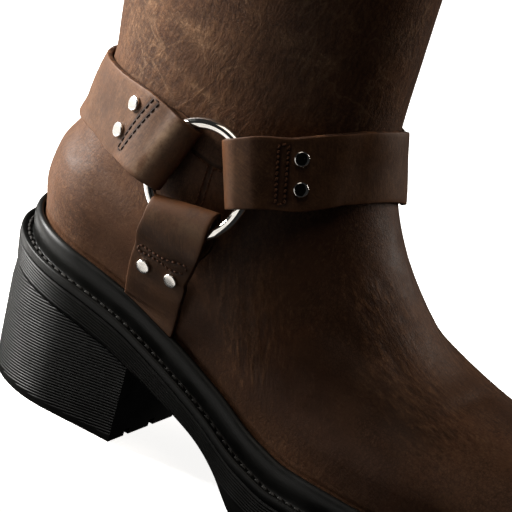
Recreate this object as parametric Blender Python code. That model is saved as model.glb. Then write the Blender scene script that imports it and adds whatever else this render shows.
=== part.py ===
"""Right-foot biker boot with a strap-and-ring harness, standing empty on its sole.

Metres. +X points to the toe, +Y to the inner side of the foot, +Z up.
The origin is on the floor under the middle of the boot's bounding box.
"""

import math

import bmesh
import bpy
import numpy as np

# Placing: the tables below measure x from the back of the upper's foot
ORIGIN_X = 0.1230
ORIGIN_Y = 0.00022

# Foot of the upper
FOOT_LENGTH = 0.250
HEEL_CAP = 0.034
TOE_CAP = 0.050
TOE_POWER = 2.4
WALL = 0.0022
CLEARANCE = 0.0003

# Welt
BEAD_HEIGHT = 0.012

# Outsole and heel
SOLE_TOP_REACH = 0.0083
SOLE_FOOT_REACH = 0.0070
SOLE_RIBS = 5
SOLE_RIB_DEPTH = 0.0006
LUG_DEPTH = 0.0035
LUG_GROOVE = 0.004
LUG_PITCH = 0.014
LUG_FIRST_X = 0.130
LUG_COUNT = 7
BREAST_X = 0.062
HEEL_TOP_REACH = 0.0066
HEEL_FOOT_REACH = 0.0030
HEEL_PLAIN_FOOT = 0.0025
HEEL_RIB_PITCH = 0.0032
HEEL_RIB_DEPTH = 0.0005
HEEL_RIB_RISE = 0.1425
HEEL_LUG_GROOVE = 0.003
HEEL_LUG_DEPTH = 0.0025
HEEL_LUG_BACK_X = 0.016
HEEL_LUG_PLACES = (-0.024, -0.008, 0.008, 0.024)
PAST_SIDES = 0.080
PAST_ENDS = 0.012

# Insole
INSOLE_THICKNESS = 0.0032

# Harness
AXIS_X = 0.060
RING_X = 0.0675
RING_Z = 0.1042
RING_RADIUS = 0.0185
WIRE_RADIUS = 0.0020
RING_LIFT = 0.0006
RING_TILT = math.radians(2.0)
STRAP_THICKNESS = 0.0024
LOOP_PLAY = 0.0003
LAYER_GAP = 0.0005
LOOP_CLOSED = 0.0105
TAIL_STEP = 0.0010
TAIL_RUN = 0.0075
RING_FRAME_END = 0.0030
LEATHER_FRAME_START = 0.0150
RIVET_RADIUS = 0.0024
RIVET_HEIGHT = 0.0013
RIVET_SEAT = 0.0004
RIVET_SPACING = 0.0110
STRAP_STEPS = 8
STRAP_PLACES = (-1.0, -0.42, 0.42, 1.0)
DOWN_LENGTH = 0.0385
DOWN_TRIM_START = 0.0080
DOWN_FACE_Y = 0.0365
DOWN_END_GAP = 0.0006
DOWN_STEPS = 4
AIM_DISTANCE = 0.030

# Counts of facets
AROUND = 44
AROUND_CROWDING = 0.2
HEEL_STEPS = 18
RING_STEPS = 26
WIRE_STEPS = 8
RIVET_STEPS = 10

# Plan of the upper's foot: x from heel, outer half width, inner half width
FOOT_PLAN = (
    (0.000, 0.0330, 0.0320),
    (0.030, 0.0335, 0.0320),
    (0.062, 0.0325, 0.0305),
    (0.092, 0.0335, 0.0305),
    (0.120, 0.0375, 0.0335),
    (0.150, 0.0410, 0.0390),
    (0.175, 0.0420, 0.0425),
    (0.200, 0.0400, 0.0420),
    (0.225, 0.0350, 0.0385),
    (0.250, 0.0300, 0.0345),
)

# Side line of the upper's lower edge: x from heel, height
BASE_LINE = (
    (0.000, 0.0493),
    (0.025, 0.0472),
    (0.0515, 0.0422),
    (0.074, 0.0348),
    (0.098, 0.0253),
    (0.118, 0.0172),
    (0.133, 0.0142),
    (0.155, 0.0142),
    (0.185, 0.0156),
    (0.215, 0.0190),
    (0.250, 0.0260),
)

# Side line of the outsole's underside: x from heel, height
TREAD_LINE = (
    (-0.010, 0.0412),
    (0.000, 0.0405),
    (0.025, 0.0384),
    (0.0515, 0.0334),
    (0.065, 0.0291),
    (0.085, 0.0227),
    (0.095, 0.0188),
    (0.1015, 0.0154),
    (0.108, 0.0109),
    (0.1135, 0.0059),
    (0.118, 0.0022),
    (0.123, 0.0000),
    (0.175, 0.0000),
    (0.190, 0.0010),
    (0.210, 0.0040),
    (0.235, 0.0098),
    (0.260, 0.0172),
)

# Loops of the upper, foot to collar: level, front x, front z, back x, back z, middle x,
# outer half width, inner half width, roundness, share of foot plan, heel swell, toe swell, sag
UPPER_LOOPS = (
    (0, 0.2500, 0.0260, 0.0000, 0.0493, 0.110, 0.0420, 0.0410, 2.00, 1.00, 1.00, 1.00, 1.00),
    (1, 0.2520, 0.0380, -0.0025, 0.0613, 0.110, 0.0420, 0.0410, 2.00, 1.00, 1.06, 1.03, 1.00),
    (2, 0.2490, 0.0480, -0.0050, 0.0730, 0.110, 0.0420, 0.0410, 2.00, 1.00, 1.10, 1.02, 1.00),
    (3, 0.2360, 0.0560, -0.0040, 0.0840, 0.090, 0.0385, 0.0375, 2.00, 0.75, 1.13, 0.96, 0.93),
    (4, 0.2030, 0.0585, 0.0005, 0.0940, 0.074, 0.0376, 0.0366, 2.00, 0.30, 1.14, 0.94, 0.62),
    (5, 0.1650, 0.0648, 0.0040, 0.1035, 0.066, 0.0373, 0.0363, 2.00, 0.05, 1.14, 0.92, 0.20),
    (6, 0.1370, 0.0830, 0.0060, 0.1130, 0.062, 0.0373, 0.0363, 2.00, 0.00, 1.14, 0.90, 0.00),
    (7, 0.1215, 0.1060, 0.0068, 0.1225, 0.060, 0.0375, 0.0365, 2.05, 0.00, 1.14, 0.90, 0.00),
    (8, 0.1150, 0.1280, 0.0055, 0.1340, 0.059, 0.0382, 0.0372, 2.05, 0.00, 1.14, 0.90, 0.00),
    (9, 0.1128, 0.1510, 0.0030, 0.1510, 0.058, 0.0395, 0.0385, 2.05, 0.00, 1.14, 0.90, 0.00),
    (10, 0.1110, 0.1800, -0.0010, 0.1800, 0.056, 0.0420, 0.0410, 2.05, 0.00, 1.14, 0.90, 0.00),
    (11, 0.1108, 0.2350, -0.0070, 0.2350, 0.053, 0.0465, 0.0455, 2.05, 0.00, 1.14, 0.90, 0.00),
    (12, 0.1120, 0.2900, -0.0125, 0.2900, 0.050, 0.0505, 0.0495, 2.05, 0.00, 1.14, 0.90, 0.00),
)
SWELL_START_X = 0.050
SWELL_RUN = 0.110

# Levels of the upper's facets, closer together at the ankle
UPPER_LEVELS = (0, 0.5, 1, 1.6, 2.2, 2.8, 3.4, 4, 4.6, 5.2, 5.8, 6.4, 7, 7.6, 8.3, 9, 10, 11, 12)

# Section of the welt: level on the upper, distance out from it, height above the flange's foot
WELT_SECTION = (
    (0.0, 0.0003, 0.0000),
    (0.5, 0.0003, 0.0060),
    (1.0, 0.0003, 0.0120),
    (1.0, 0.0016, 0.0120),
    (0.9, 0.0028, 0.0108),
    (0.6, 0.0036, 0.0075),
    (0.3, 0.0036, 0.0044),
    (0.3, 0.0042, 0.0034),
    (0.0, 0.0080, 0.0034),
    (0.0, 0.0085, 0.0028),
    (0.0, 0.0085, 0.0000),
)

# Middle lines of the straps, from ring to far end: angle round the ankle, height, width
BACK_LINE = (
    (-78.6, 0.1042, 0.0225),
    (-91.0, 0.1066, 0.0225),
    (-104.0, 0.1085, 0.0255),
    (-125.0, 0.1115, 0.0270),
    (-144.0, 0.1131, 0.0278),
    (-180.0, 0.1138, 0.0280),
    (-216.0, 0.1131, 0.0278),
)
FRONT_LINE = (
    (-78.6, 0.1042, 0.0215),
    (-65.0, 0.1098, 0.0215),
    (-53.0, 0.1136, 0.0240),
    (-38.7, 0.1185, 0.0245),
    (-22.5, 0.1232, 0.0248),
    (0.0, 0.1252, 0.0250),
    (22.5, 0.1232, 0.0248),
)
DOWN_LINE = (
    (-78.6, 0.1042, 0.0205),
    (-81.5, 0.0900, 0.0205),
    (-83.6, 0.0760, 0.0232),
    (-84.4, 0.0620, 0.0234),
    (-84.2, 0.0460, 0.0234),
)

# Section of a rivet cap: share of its radius, share of its height
RIVET_SECTION = ((0.95, 0.0), (1.0, 0.35), (0.55, 1.0))

# Straps: middle line, angle where it ends, reach of the loop inward from the wire,
# tail length from the wire, rivets from the wire
STRAPS = {
    "back": (BACK_LINE, -180.0, 0.0094, 0.0200, 0.0150),
    "front": (FRONT_LINE, 0.0, 0.0090, 0.0230, 0.0178),
    "down": (DOWN_LINE, -84.2, 0.0086, 0.0235, 0.0192),
}


def smooth_through(rows, column, place):
    """Value of a table column at a place, by a monotone cubic through its rows."""
    t = np.array([row[0] for row in rows], float)
    y = np.array([row[column] for row in rows], float)
    if t[0] > t[-1]:
        t = t[::-1]
        y = y[::-1]
    run = np.diff(t)
    rise = np.diff(y) / run
    slope = np.empty(len(t))
    slope[0] = rise[0]
    slope[-1] = rise[-1]
    for i in range(1, len(t) - 1):
        before = rise[i - 1]
        after = rise[i]
        if before * after <= 0:
            slope[i] = 0
            continue
        w_before = 2 * run[i] + run[i - 1]
        w_after = run[i] + 2 * run[i - 1]
        slope[i] = (w_before + w_after) / (w_before / before + w_after / after)
    x = np.clip(np.asarray(place, float), t[0], t[-1])
    i = np.clip(np.searchsorted(t, x, "right") - 1, 0, len(t) - 2)
    s = (x - t[i]) / run[i]
    start = (1 + 2 * s) * (1 - s) ** 2 * y[i] + s * (1 - s) ** 2 * run[i] * slope[i]
    end = s * s * (3 - 2 * s) * y[i + 1] + s * s * (s - 1) * run[i] * slope[i + 1]
    return start + end


def ease(t):
    """Smooth step from 0 to 1."""
    t = np.clip(t, 0, 1)
    return t * t * (3 - 2 * t)


def unit(vectors):
    """Vectors scaled to length one."""
    return vectors / np.linalg.norm(vectors, axis=-1, keepdims=True)


def foot_half(x, inner):
    """Half width of the upper's foot at x, on the inner or outer side."""
    width = np.where(inner, smooth_through(FOOT_PLAN, 2, x), smooth_through(FOOT_PLAN, 1, x))
    heel = np.clip(x / HEEL_CAP, 0, 1)
    toe = np.clip((FOOT_LENGTH - x) / TOE_CAP, 0, 1)
    heel_round = np.sqrt(1 - (1 - heel) ** 2)
    toe_round = (1 - (1 - toe) ** TOE_POWER) ** (1 / TOE_POWER)
    return width * heel_round * toe_round


def foot_plan(theta):
    """Plan points of the upper's foot at angles from the toe."""
    x = FOOT_LENGTH * (1 + np.cos(theta)) / 2
    inner = np.sin(theta) >= 0
    return np.stack([x, np.where(inner, 1, -1) * foot_half(x, inner)], -1)


def plan_normal(theta):
    """Outward plan direction of the foot's outline."""
    step = 0.001
    along = foot_plan(theta + step) - foot_plan(theta - step)
    return unit(np.stack([along[..., 1], -along[..., 0]], -1))


def sole_loop(theta, reach, line, drop=0.0):
    """Loop at a distance outside the foot's outline, on a side line less a drop."""
    plan = foot_plan(theta) + reach * plan_normal(theta)
    height = smooth_through(line, 1, plan[..., 0]) - drop
    return np.concatenate([plan, height[..., None]], -1)


def upper_surface(theta, level):
    """Outer face of the upper at an angle from the toe and a level of its loop table."""
    theta, level = np.broadcast_arrays(np.asarray(theta, float), np.asarray(level, float))
    columns = [smooth_through(UPPER_LOOPS, k, level) for k in range(1, 13)]
    front_x, front_z, back_x, back_z, middle_x, outer, inner, power = columns[:8]
    share, heel_swell, toe_swell, sag = columns[8:]
    c = np.cos(theta)
    s = np.sin(theta)
    round_x = np.sign(c) * np.abs(c) ** (2 / power)
    round_y = np.sign(s) * np.abs(s) ** (2 / power)
    leg_x = middle_x + np.where(c >= 0, front_x - middle_x, middle_x - back_x) * round_x
    leg_y = np.where(s >= 0, inner, outer) * round_y
    plan = foot_plan(theta)
    foot_x = back_x + (front_x - back_x) * plan[..., 0] / FOOT_LENGTH
    swell = heel_swell + (toe_swell - heel_swell) * ease((plan[..., 0] - SWELL_START_X) / SWELL_RUN)
    x = share * foot_x + (1 - share) * leg_x
    y = share * swell * plan[..., 1] + (1 - share) * leg_y
    along = (x - back_x) / (front_x - back_x)
    heel_z = BASE_LINE[0][1]
    toe_z = BASE_LINE[-1][1]
    dip = smooth_through(BASE_LINE, 1, along * FOOT_LENGTH) - (heel_z + (toe_z - heel_z) * along)
    z = back_z + (front_z - back_z) * along + dip * sag
    return np.stack([x, y, z], -1)


def upper_normal(theta, level):
    """Outward direction of the upper's face."""
    step = 0.002
    top = UPPER_LOOPS[-1][0]
    across = upper_surface(theta + step, level) - upper_surface(theta - step, level)
    low = np.clip(level - step, 0, top)
    high = np.clip(level + step, 0, top)
    up = upper_surface(theta, high) - upper_surface(theta, low)
    return unit(np.cross(across, up))


def finish_mesh(name, bm, material):
    """Turn a bmesh into a closed, outward-facing object with its material."""
    bmesh.ops.remove_doubles(bm, verts=bm.verts, dist=0.000001)
    bmesh.ops.triangulate(bm, faces=bm.faces)
    bmesh.ops.recalc_face_normals(bm, faces=bm.faces)
    for vertex in bm.verts:
        vertex.co.x -= ORIGIN_X
        vertex.co.y -= ORIGIN_Y
    mesh = bpy.data.meshes.new(name)
    bm.to_mesh(mesh)
    bm.free()
    thing = bpy.data.objects.new(name, mesh)
    bpy.context.scene.collection.objects.link(thing)
    mesh.materials.append(material)
    return thing


def add_loops(bm, loops):
    """Add loops of points as vertices, row by row."""
    return [[bm.verts.new(tuple(map(float, point))) for point in loop] for loop in loops]


def bridge(bm, first, second):
    """Faces between two closed loops of equal length."""
    count = len(first)
    for i in range(count):
        j = (i + 1) % count
        bm.faces.new((first[i], first[j], second[j], second[i]))


def fill_across(bm, loop):
    """Faces across a loop whose points pair off from one side to the other."""
    count = len(loop)
    half = count // 2
    bm.faces.new((loop[0], loop[1], loop[count - 1]))
    for i in range(1, half - 1):
        bm.faces.new((loop[i], loop[i + 1], loop[count - i - 1], loop[count - i]))
    bm.faces.new((loop[half - 1], loop[half], loop[half + 1]))


def ring_solid(name, loops, material):
    """Solid whose loops close on themselves like a hoop."""
    bm = bmesh.new()
    rows = add_loops(bm, loops)
    for i, row in enumerate(rows):
        bridge(bm, row, rows[(i + 1) % len(rows)])
    return finish_mesh(name, bm, material)


def capped_solid(name, loops, material):
    """Solid made of a run of loops closed by a face at each end."""
    bm = bmesh.new()
    rows = add_loops(bm, loops)
    for i in range(len(rows) - 1):
        bridge(bm, rows[i], rows[i + 1])
    bm.faces.new(rows[0])
    bm.faces.new(rows[-1][::-1])
    return finish_mesh(name, bm, material)


def box_cutter(name, boxes):
    """One cutter mesh of separate boxes: low x, high x, low y, high y, low z, high z."""
    bm = bmesh.new()
    for x0, x1, y0, y1, z0, z1 in boxes:
        low = [bm.verts.new((x, y, z0)) for x, y in ((x0, y0), (x1, y0), (x1, y1), (x0, y1))]
        high = [bm.verts.new((x, y, z1)) for x, y in ((x0, y0), (x1, y0), (x1, y1), (x0, y1))]
        bridge(bm, low, high)
        bm.faces.new(low[::-1])
        bm.faces.new(high)
    return finish_mesh(name, bm, bpy.data.materials[0])


def combine(thing, cutter, operation):
    """Apply an exact boolean to a solid and remove the cutter."""
    modifier = thing.modifiers.new("cut", "BOOLEAN")
    modifier.operation = operation
    modifier.solver = "EXACT"
    modifier.object = cutter
    bpy.context.view_layer.update()
    graph = bpy.context.evaluated_depsgraph_get()
    result = bpy.data.meshes.new_from_object(thing.evaluated_get(graph))
    thing.modifiers.clear()
    old = thing.data
    thing.data = result
    result.name = thing.name
    bpy.data.meshes.remove(old)
    bpy.data.objects.remove(cutter)


def make_material(name, colour, roughness, metallic=0.0):
    """Principled material of one colour."""
    material = bpy.data.materials.new(name)
    material.use_nodes = True
    shader = material.node_tree.nodes["Principled BSDF"]
    shader.inputs["Base Color"].default_value = (*colour, 1.0)
    shader.inputs["Roughness"].default_value = roughness
    shader.inputs["Metallic"].default_value = metallic
    return material


def make_upper(material):
    """Hollow upper: outer face up, inner face down, open at both ends."""
    theta = AROUND_ANGLES
    outer = [upper_surface(theta, level) for level in UPPER_LEVELS]
    inner = [upper_surface(theta, level) - WALL * upper_normal(theta, level) for level in UPPER_LEVELS]
    for loop, rim in ((inner[0], outer[0]), (inner[-1], outer[-1])):
        loop[:, 2] = rim[:, 2]
    return ring_solid("upper", outer + inner[::-1], material)


def make_welt(material):
    """Upright bead against the upper with a flat flange round it."""
    theta = AROUND_ANGLES
    out = np.concatenate([plan_normal(theta), np.zeros((AROUND, 1))], -1)
    loops = []
    for level, reach, height in WELT_SECTION:
        loop = upper_surface(theta, level) + reach * out
        loop[:, 2] = smooth_through(BASE_LINE, 1, foot_plan(theta)[:, 0]) + height
        loops.append(loop)
    return ring_solid("welt", loops, material)


def make_outsole(material):
    """Outsole with a ribbed side and lugs cut into the forefoot."""
    theta = AROUND_ANGLES
    base = smooth_through(BASE_LINE, 1, foot_plan(theta)[:, 0]) - CLEARANCE
    top = sole_loop(theta, SOLE_TOP_REACH, BASE_LINE)
    top[:, 2] = base
    middle = sole_loop(theta, 0.0, BASE_LINE)
    middle[:, 2] = base
    bottom = sole_loop(theta, SOLE_FOOT_REACH, TREAD_LINE)
    loops = [top]
    steps = 2 * SOLE_RIBS
    for i in range(1, steps):
        share = i / steps
        reach = SOLE_TOP_REACH + (SOLE_FOOT_REACH - SOLE_TOP_REACH) * share
        reach -= SOLE_RIB_DEPTH * (i % 2)
        loop = sole_loop(theta, reach, BASE_LINE)
        loop[:, 2] = top[:, 2] + (bottom[:, 2] - top[:, 2]) * share
        loops.append(loop)
    loops.append(bottom)
    bm = bmesh.new()
    rows = add_loops(bm, [middle] + loops)
    for i in range(len(rows) - 1):
        bridge(bm, rows[i], rows[i + 1])
    fill_across(bm, rows[0])
    fill_across(bm, rows[-1])
    thing = finish_mesh("outsole", bm, material)
    half = 0.5 * LUG_GROOVE
    boxes = []
    for i in range(LUG_COUNT):
        x = LUG_FIRST_X + i * LUG_PITCH
        floor = float(smooth_through(TREAD_LINE, 1, x))
        boxes.append((x - half, x + half, -PAST_SIDES, PAST_SIDES, -PAST_ENDS, floor + LUG_DEPTH))
    combine(thing, box_cutter("lug_cutter", boxes), "DIFFERENCE")
    return thing


def heel_loop(reach, height):
    """Heel outline up to the breast, on a level tilted like its ribs."""
    fine = np.linspace(0.5 * math.pi, 1.5 * math.pi, 721)
    plan = foot_plan(fine) + reach * plan_normal(fine)
    keep = plan[:, 0] <= BREAST_X
    arc = plan[keep]
    run = np.concatenate([[0], np.cumsum(np.linalg.norm(np.diff(arc, axis=0), axis=1))])
    marks = np.linspace(0, run[-1], HEEL_STEPS + 1)
    x = np.interp(marks, run, arc[:, 0])
    y = np.interp(marks, run, arc[:, 1])
    x[0] = BREAST_X
    x[-1] = BREAST_X
    z = height + HEEL_RIB_RISE * (x - BREAST_X)
    return np.stack([x, y, z], -1)


def heel_reach(height):
    """Distance of the heel's side outside the foot's outline, wider to the top."""
    return HEEL_FOOT_REACH + (HEEL_TOP_REACH - HEEL_FOOT_REACH) * height / TREAD_LINE[0][1]


def make_heel(material):
    """Ribbed heel block between the floor and the outsole, with lug grooves at the breast."""
    first = HEEL_PLAIN_FOOT
    count = int((TREAD_LINE[0][1] + PAST_ENDS - first) / HEEL_RIB_PITCH)
    loops = [heel_loop(heel_reach(0.0), -PAST_ENDS), heel_loop(heel_reach(first), first)]
    for i in range(count):
        valley = first + (i + 0.5) * HEEL_RIB_PITCH
        ridge = first + (i + 1.0) * HEEL_RIB_PITCH
        loops.append(heel_loop(heel_reach(valley) - HEEL_RIB_DEPTH, valley))
        loops.append(heel_loop(heel_reach(ridge), ridge))
    thing = capped_solid("heel", loops, material)
    wide = PAST_SIDES
    sections = []
    for x in np.linspace(-2 * PAST_ENDS, BREAST_X + PAST_ENDS, 15):
        top = float(smooth_through(TREAD_LINE, 1, x)) - CLEARANCE
        sections.append([(x, -wide, 0.0), (x, wide, 0.0), (x, wide, top), (x, -wide, top)])
    envelope = capped_solid("heel_envelope", sections, bpy.data.materials[0])
    combine(thing, envelope, "INTERSECT")
    half = 0.5 * HEEL_LUG_GROOVE
    boxes = [(HEEL_LUG_BACK_X, BREAST_X + PAST_ENDS, y - half, y + half, -PAST_ENDS, HEEL_LUG_DEPTH)
             for y in HEEL_LUG_PLACES]
    combine(thing, box_cutter("heel_lug_cutter", boxes), "DIFFERENCE")
    return thing


def make_insole(material):
    """Footbed lying on the outsole inside the upper."""
    theta = AROUND_ANGLES
    low = sole_loop(theta, -(WALL + CLEARANCE), BASE_LINE)
    low[:, 2] = smooth_through(BASE_LINE, 1, foot_plan(theta)[:, 0])
    high = low.copy()
    high[:, 2] += INSOLE_THICKNESS
    bm = bmesh.new()
    rows = add_loops(bm, [low, high])
    bridge(bm, rows[0], rows[1])
    fill_across(bm, rows[0])
    fill_across(bm, rows[1])
    return finish_mesh("insole", bm, material)


def ankle_place(angle, height):
    """Angle and level on the upper of points at an angle round the ankle and a height."""
    angle = np.asarray(angle, float)
    height = np.asarray(height, float)
    theta_grid, level_grid = np.meshgrid(np.linspace(-math.pi, math.pi, 145), np.linspace(0.5, 9.5, 91))
    points = upper_surface(theta_grid, level_grid)
    grid_angle = np.arctan2(points[..., 1], points[..., 0] - AXIS_X).ravel()
    grid_height = points[..., 2].ravel()
    theta = np.empty(angle.shape)
    level = np.empty(angle.shape)
    arm = 0.045
    for i in np.ndindex(angle.shape):
        turn = np.angle(np.exp(1j * (grid_angle - angle[i])))
        near = int(np.argmin((turn * arm) ** 2 + (grid_height - height[i]) ** 2))
        theta[i] = theta_grid.ravel()[near]
        level[i] = level_grid.ravel()[near]
    step = 0.0001
    for _ in range(8):
        here = ankle_miss(theta, level, angle, height)
        by_theta = (ankle_miss(theta + step, level, angle, height) - here) / step
        by_level = (ankle_miss(theta, level + step, angle, height) - here) / step
        det = by_theta[0] * by_level[1] - by_level[0] * by_theta[1]
        theta = theta - (here[0] * by_level[1] - by_level[0] * here[1]) / det
        level = level - (by_theta[0] * here[1] - here[0] * by_theta[1]) / det
    return theta, level


def ankle_miss(theta, level, angle, height):
    """How far a place on the upper is from the wanted angle and height."""
    point = upper_surface(theta, level)
    turn = np.arctan2(point[..., 1], point[..., 0] - AXIS_X) - angle
    return np.stack([np.angle(np.exp(1j * turn)), point[..., 2] - height])


def leather(angle, height, lift=0.0):
    """Point above the upper at an angle round the ankle and a height."""
    theta, level = ankle_place(angle, height)
    lift = np.asarray(lift, float)
    return upper_surface(theta, level) + lift[..., None] * upper_normal(theta, level)


def strap_course(kind):
    """Middle line of a strap on the outer side: run, angle, height, slope parts, width."""
    rows, last = STRAPS[kind][:2]
    if kind == "down":
        heights = np.linspace(rows[0][1], rows[-1][1], 41)
        angle = smooth_through([(z, a) for a, z, w in rows], 1, heights)
        width = smooth_through([(z, w) for a, z, w in rows], 1, heights)
    else:
        angle = np.linspace(rows[0][0], last, 61)
        heights = smooth_through(rows, 1, angle)
        width = smooth_through(rows, 2, angle)
    angle = np.radians(angle)
    points = leather(angle, heights)
    run = np.concatenate([[0], np.cumsum(np.linalg.norm(np.diff(points, axis=0), axis=1))])
    radius = np.hypot(points[:, 0] - AXIS_X, points[:, 1])
    arc_part = np.gradient(angle, run) * radius
    rise_part = np.gradient(heights, run)
    size = np.hypot(arc_part, rise_part)
    return run, angle, heights, arc_part / size, rise_part / size, width, radius


def strap_points(kind, side, course, s, w, h):
    """Points of a strap: distance from the wire, across, above the leather."""
    run, angle, height, arc_part, rise_part, width, radius = course
    s, w, h = np.broadcast_arrays(s, w, h)
    along = RING_RADIUS + s
    flip = -1.0 if kind == "back" else 1.0
    across_arc = -flip * np.interp(along, run, rise_part)
    across_rise = flip * np.interp(along, run, arc_part)
    w_angle = np.interp(along, run, angle) + w * across_arc / np.interp(along, run, radius)
    w_height = np.interp(along, run, height) + w * across_rise
    if kind == "down":
        w_height = trim_to_welt(side, w_angle, w_height, s)
    lying = leather(-side * w_angle, w_height, h)
    centre, normal = ring_frame(side)
    aim = leather(-side * np.interp(AIM_DISTANCE, run, angle), np.interp(AIM_DISTANCE, run, height))
    ahead = aim - centre
    ahead = unit(ahead - normal * (ahead @ normal))
    over = flip * side * np.cross(ahead, normal)
    flat = centre + normal * (RING_LIFT + h[..., None])
    flat = flat + ahead * along[..., None] + over * w[..., None]
    blend = ease((s - RING_FRAME_END) / (LEATHER_FRAME_START - RING_FRAME_END))[..., None]
    return flat * (1 - blend) + lying * blend


def trim_to_welt(side, angle, height, s):
    """Heights of the down strap, stretched so that its end follows the top of the welt."""
    start = STRAPS["down"][3] + DOWN_TRIM_START
    theta = -side * np.linspace(-0.99 * math.pi, -0.01 * math.pi, 361)
    edge = upper_surface(theta, 1.0)
    edge_angle = np.arctan2(-side * edge[:, 1], edge[:, 0] - AXIS_X)
    foot = np.interp(angle, edge_angle, edge[:, 2]) + DOWN_END_GAP
    start_height = RING_Z - RING_RADIUS - start
    share = np.clip((s - start) / (DOWN_LENGTH - start), 0, 1)
    trimmed = start_height + (foot - start_height) * share
    return np.where(s > start, trimmed, height)


def ring_frame(side):
    """Leather point under the ring's middle and the ring's outward axis."""
    x = RING_X - AXIS_X
    guess = math.atan2(DOWN_FACE_Y, x)
    for _ in range(4):
        point = leather(side * guess, RING_Z)
        guess = math.atan2(abs(point[1]), x)
    normal = np.array([0.0, side * math.cos(RING_TILT), math.sin(RING_TILT)])
    return point, normal


def loop_path(kind):
    """Strap path at one end, tail to single layer: distance, height, outward parts."""
    reach, tail = STRAPS[kind][2:4]
    under = CLEARANCE + 0.5 * STRAP_THICKNESS
    turn = WIRE_RADIUS + LOOP_PLAY + 0.5 * STRAP_THICKNESS
    nose = -reach + turn + 0.5 * STRAP_THICKNESS
    doubled = under + STRAP_THICKNESS + LAYER_GAP
    path = [(s, under, 0.0, -1.0) for s in np.linspace(tail, nose, 5)[:-1]]
    for a in np.linspace(-0.5 * math.pi, -1.5 * math.pi, 8):
        path.append((nose + turn * math.cos(a), under + turn + turn * math.sin(a), math.cos(a), math.sin(a)))
    runs = (
        (0.0, LOOP_CLOSED, under + 2 * turn, doubled, 6),
        (LOOP_CLOSED, tail + TAIL_STEP, doubled, doubled, 5),
        (tail + TAIL_STEP, tail + TAIL_RUN, doubled, under, 4),
    )
    for start, end, high, low, count in runs:
        for s in np.linspace(start, end, count)[:-1]:
            share = (s - start) / (end - start)
            slope = 6 * share * (1 - share) * (high - low) / (end - start)
            size = math.hypot(1, slope)
            path.append((s, high - (high - low) * float(ease(share)), slope / size, 1 / size))
    path.append((tail + TAIL_RUN, under, 0.0, 1.0))
    return path


def strap_sections(kind, side, path, course):
    """Sections of a strap along a path, points over its top face and back under it."""
    run, width = course[0], course[5]
    s, h, out_s, out_h = (np.array(column) for column in zip(*path))
    half = 0.5 * np.interp(RING_RADIUS + s, run, width)
    thick = 0.5 * STRAP_THICKNESS
    faces = []
    for sign, places in ((1, STRAP_PLACES), (-1, STRAP_PLACES[::-1])):
        for place in places:
            faces.append(strap_points(kind, side, course, s + sign * thick * out_s, place * half,
                                      h + sign * thick * out_h))
    return list(np.stack(faces, 1))


def make_round_strap(kind, material):
    """Strap from ring to ring round the ankle, looped at both ends."""
    course = strap_course(kind)
    path = loop_path(kind)
    under = CLEARANCE + 0.5 * STRAP_THICKNESS
    middle = course[0][-1] - RING_RADIUS
    path += [(s, under, 0.0, 1.0) for s in np.linspace(path[-1][0], middle, STRAP_STEPS)[1:]]
    outer = strap_sections(kind, -1, path, course)
    inner = strap_sections(kind, 1, path[:-1], course)
    return capped_solid("strap_" + kind, outer + inner[::-1], material)


def make_down_strap(side, material):
    """Strap from a ring down to the welt, looped at its top."""
    course = strap_course("down")
    path = loop_path("down")
    under = CLEARANCE + 0.5 * STRAP_THICKNESS
    path += [(s, under, 0.0, 1.0) for s in np.linspace(path[-1][0], DOWN_LENGTH, DOWN_STEPS)[1:]]
    name = "strap_down_outer" if side < 0 else "strap_down_inner"
    return capped_solid(name, strap_sections("down", side, path, course), material)


def make_ring(side, material):
    """Round-wire ring held in the three strap loops."""
    point, normal = ring_frame(side)
    lift = CLEARANCE + STRAP_THICKNESS + LOOP_PLAY + WIRE_RADIUS + RING_LIFT
    centre = point + normal * lift
    right = np.array([1.0, 0.0, 0.0])
    up = np.cross(normal, right)
    loops = []
    for a in np.arange(RING_STEPS) * 2 * math.pi / RING_STEPS:
        out = right * math.cos(a) + up * math.sin(a)
        wire = np.arange(WIRE_STEPS) * 2 * math.pi / WIRE_STEPS
        loops.append([centre + out * (RING_RADIUS + WIRE_RADIUS * math.cos(b))
                      + normal * WIRE_RADIUS * math.sin(b) for b in wire])
    return ring_solid("ring_outer" if side < 0 else "ring_inner", loops, material)


def make_rivets(kind, side, material):
    """Two domed caps across a strap end."""
    course = strap_course(kind)
    place = STRAPS[kind][4]
    top = CLEARANCE + 2 * STRAP_THICKNESS + LAYER_GAP + RIVET_SEAT
    things = []
    for label, w in (("upper", 0.5 * RIVET_SPACING), ("lower", -0.5 * RIVET_SPACING)):
        foot = strap_points(kind, side, course, np.array([place]), np.array([w]), np.array([top]))[0]
        cap = top + RIVET_HEIGHT
        above = strap_points(kind, side, course, np.array([place]), np.array([w]), np.array([cap]))[0]
        axis = unit(above - foot)
        right = unit(np.cross(axis, np.array([0.0, 0.0, 1.0])))
        up = np.cross(axis, right)
        loops = []
        for radius, height in RIVET_SECTION:
            loops.append([foot + axis * height * RIVET_HEIGHT + radius * RIVET_RADIUS
                          * (right * math.cos(a) + up * math.sin(a))
                          for a in np.arange(RIVET_STEPS) * 2 * math.pi / RIVET_STEPS])
        name = "rivet_%s_%s_%s" % (kind, "outer" if side < 0 else "inner", label)
        things.append(capped_solid(name, loops, material))
    return things


def around_angles():
    """Angles from the toe, a little closer together along the sides."""
    share = np.arange(AROUND) / AROUND
    return 2 * math.pi * share + AROUND_CROWDING * np.sin(4 * math.pi * share) / 2


AROUND_ANGLES = around_angles()

for old in list(bpy.data.objects):
    bpy.data.objects.remove(old)

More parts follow.
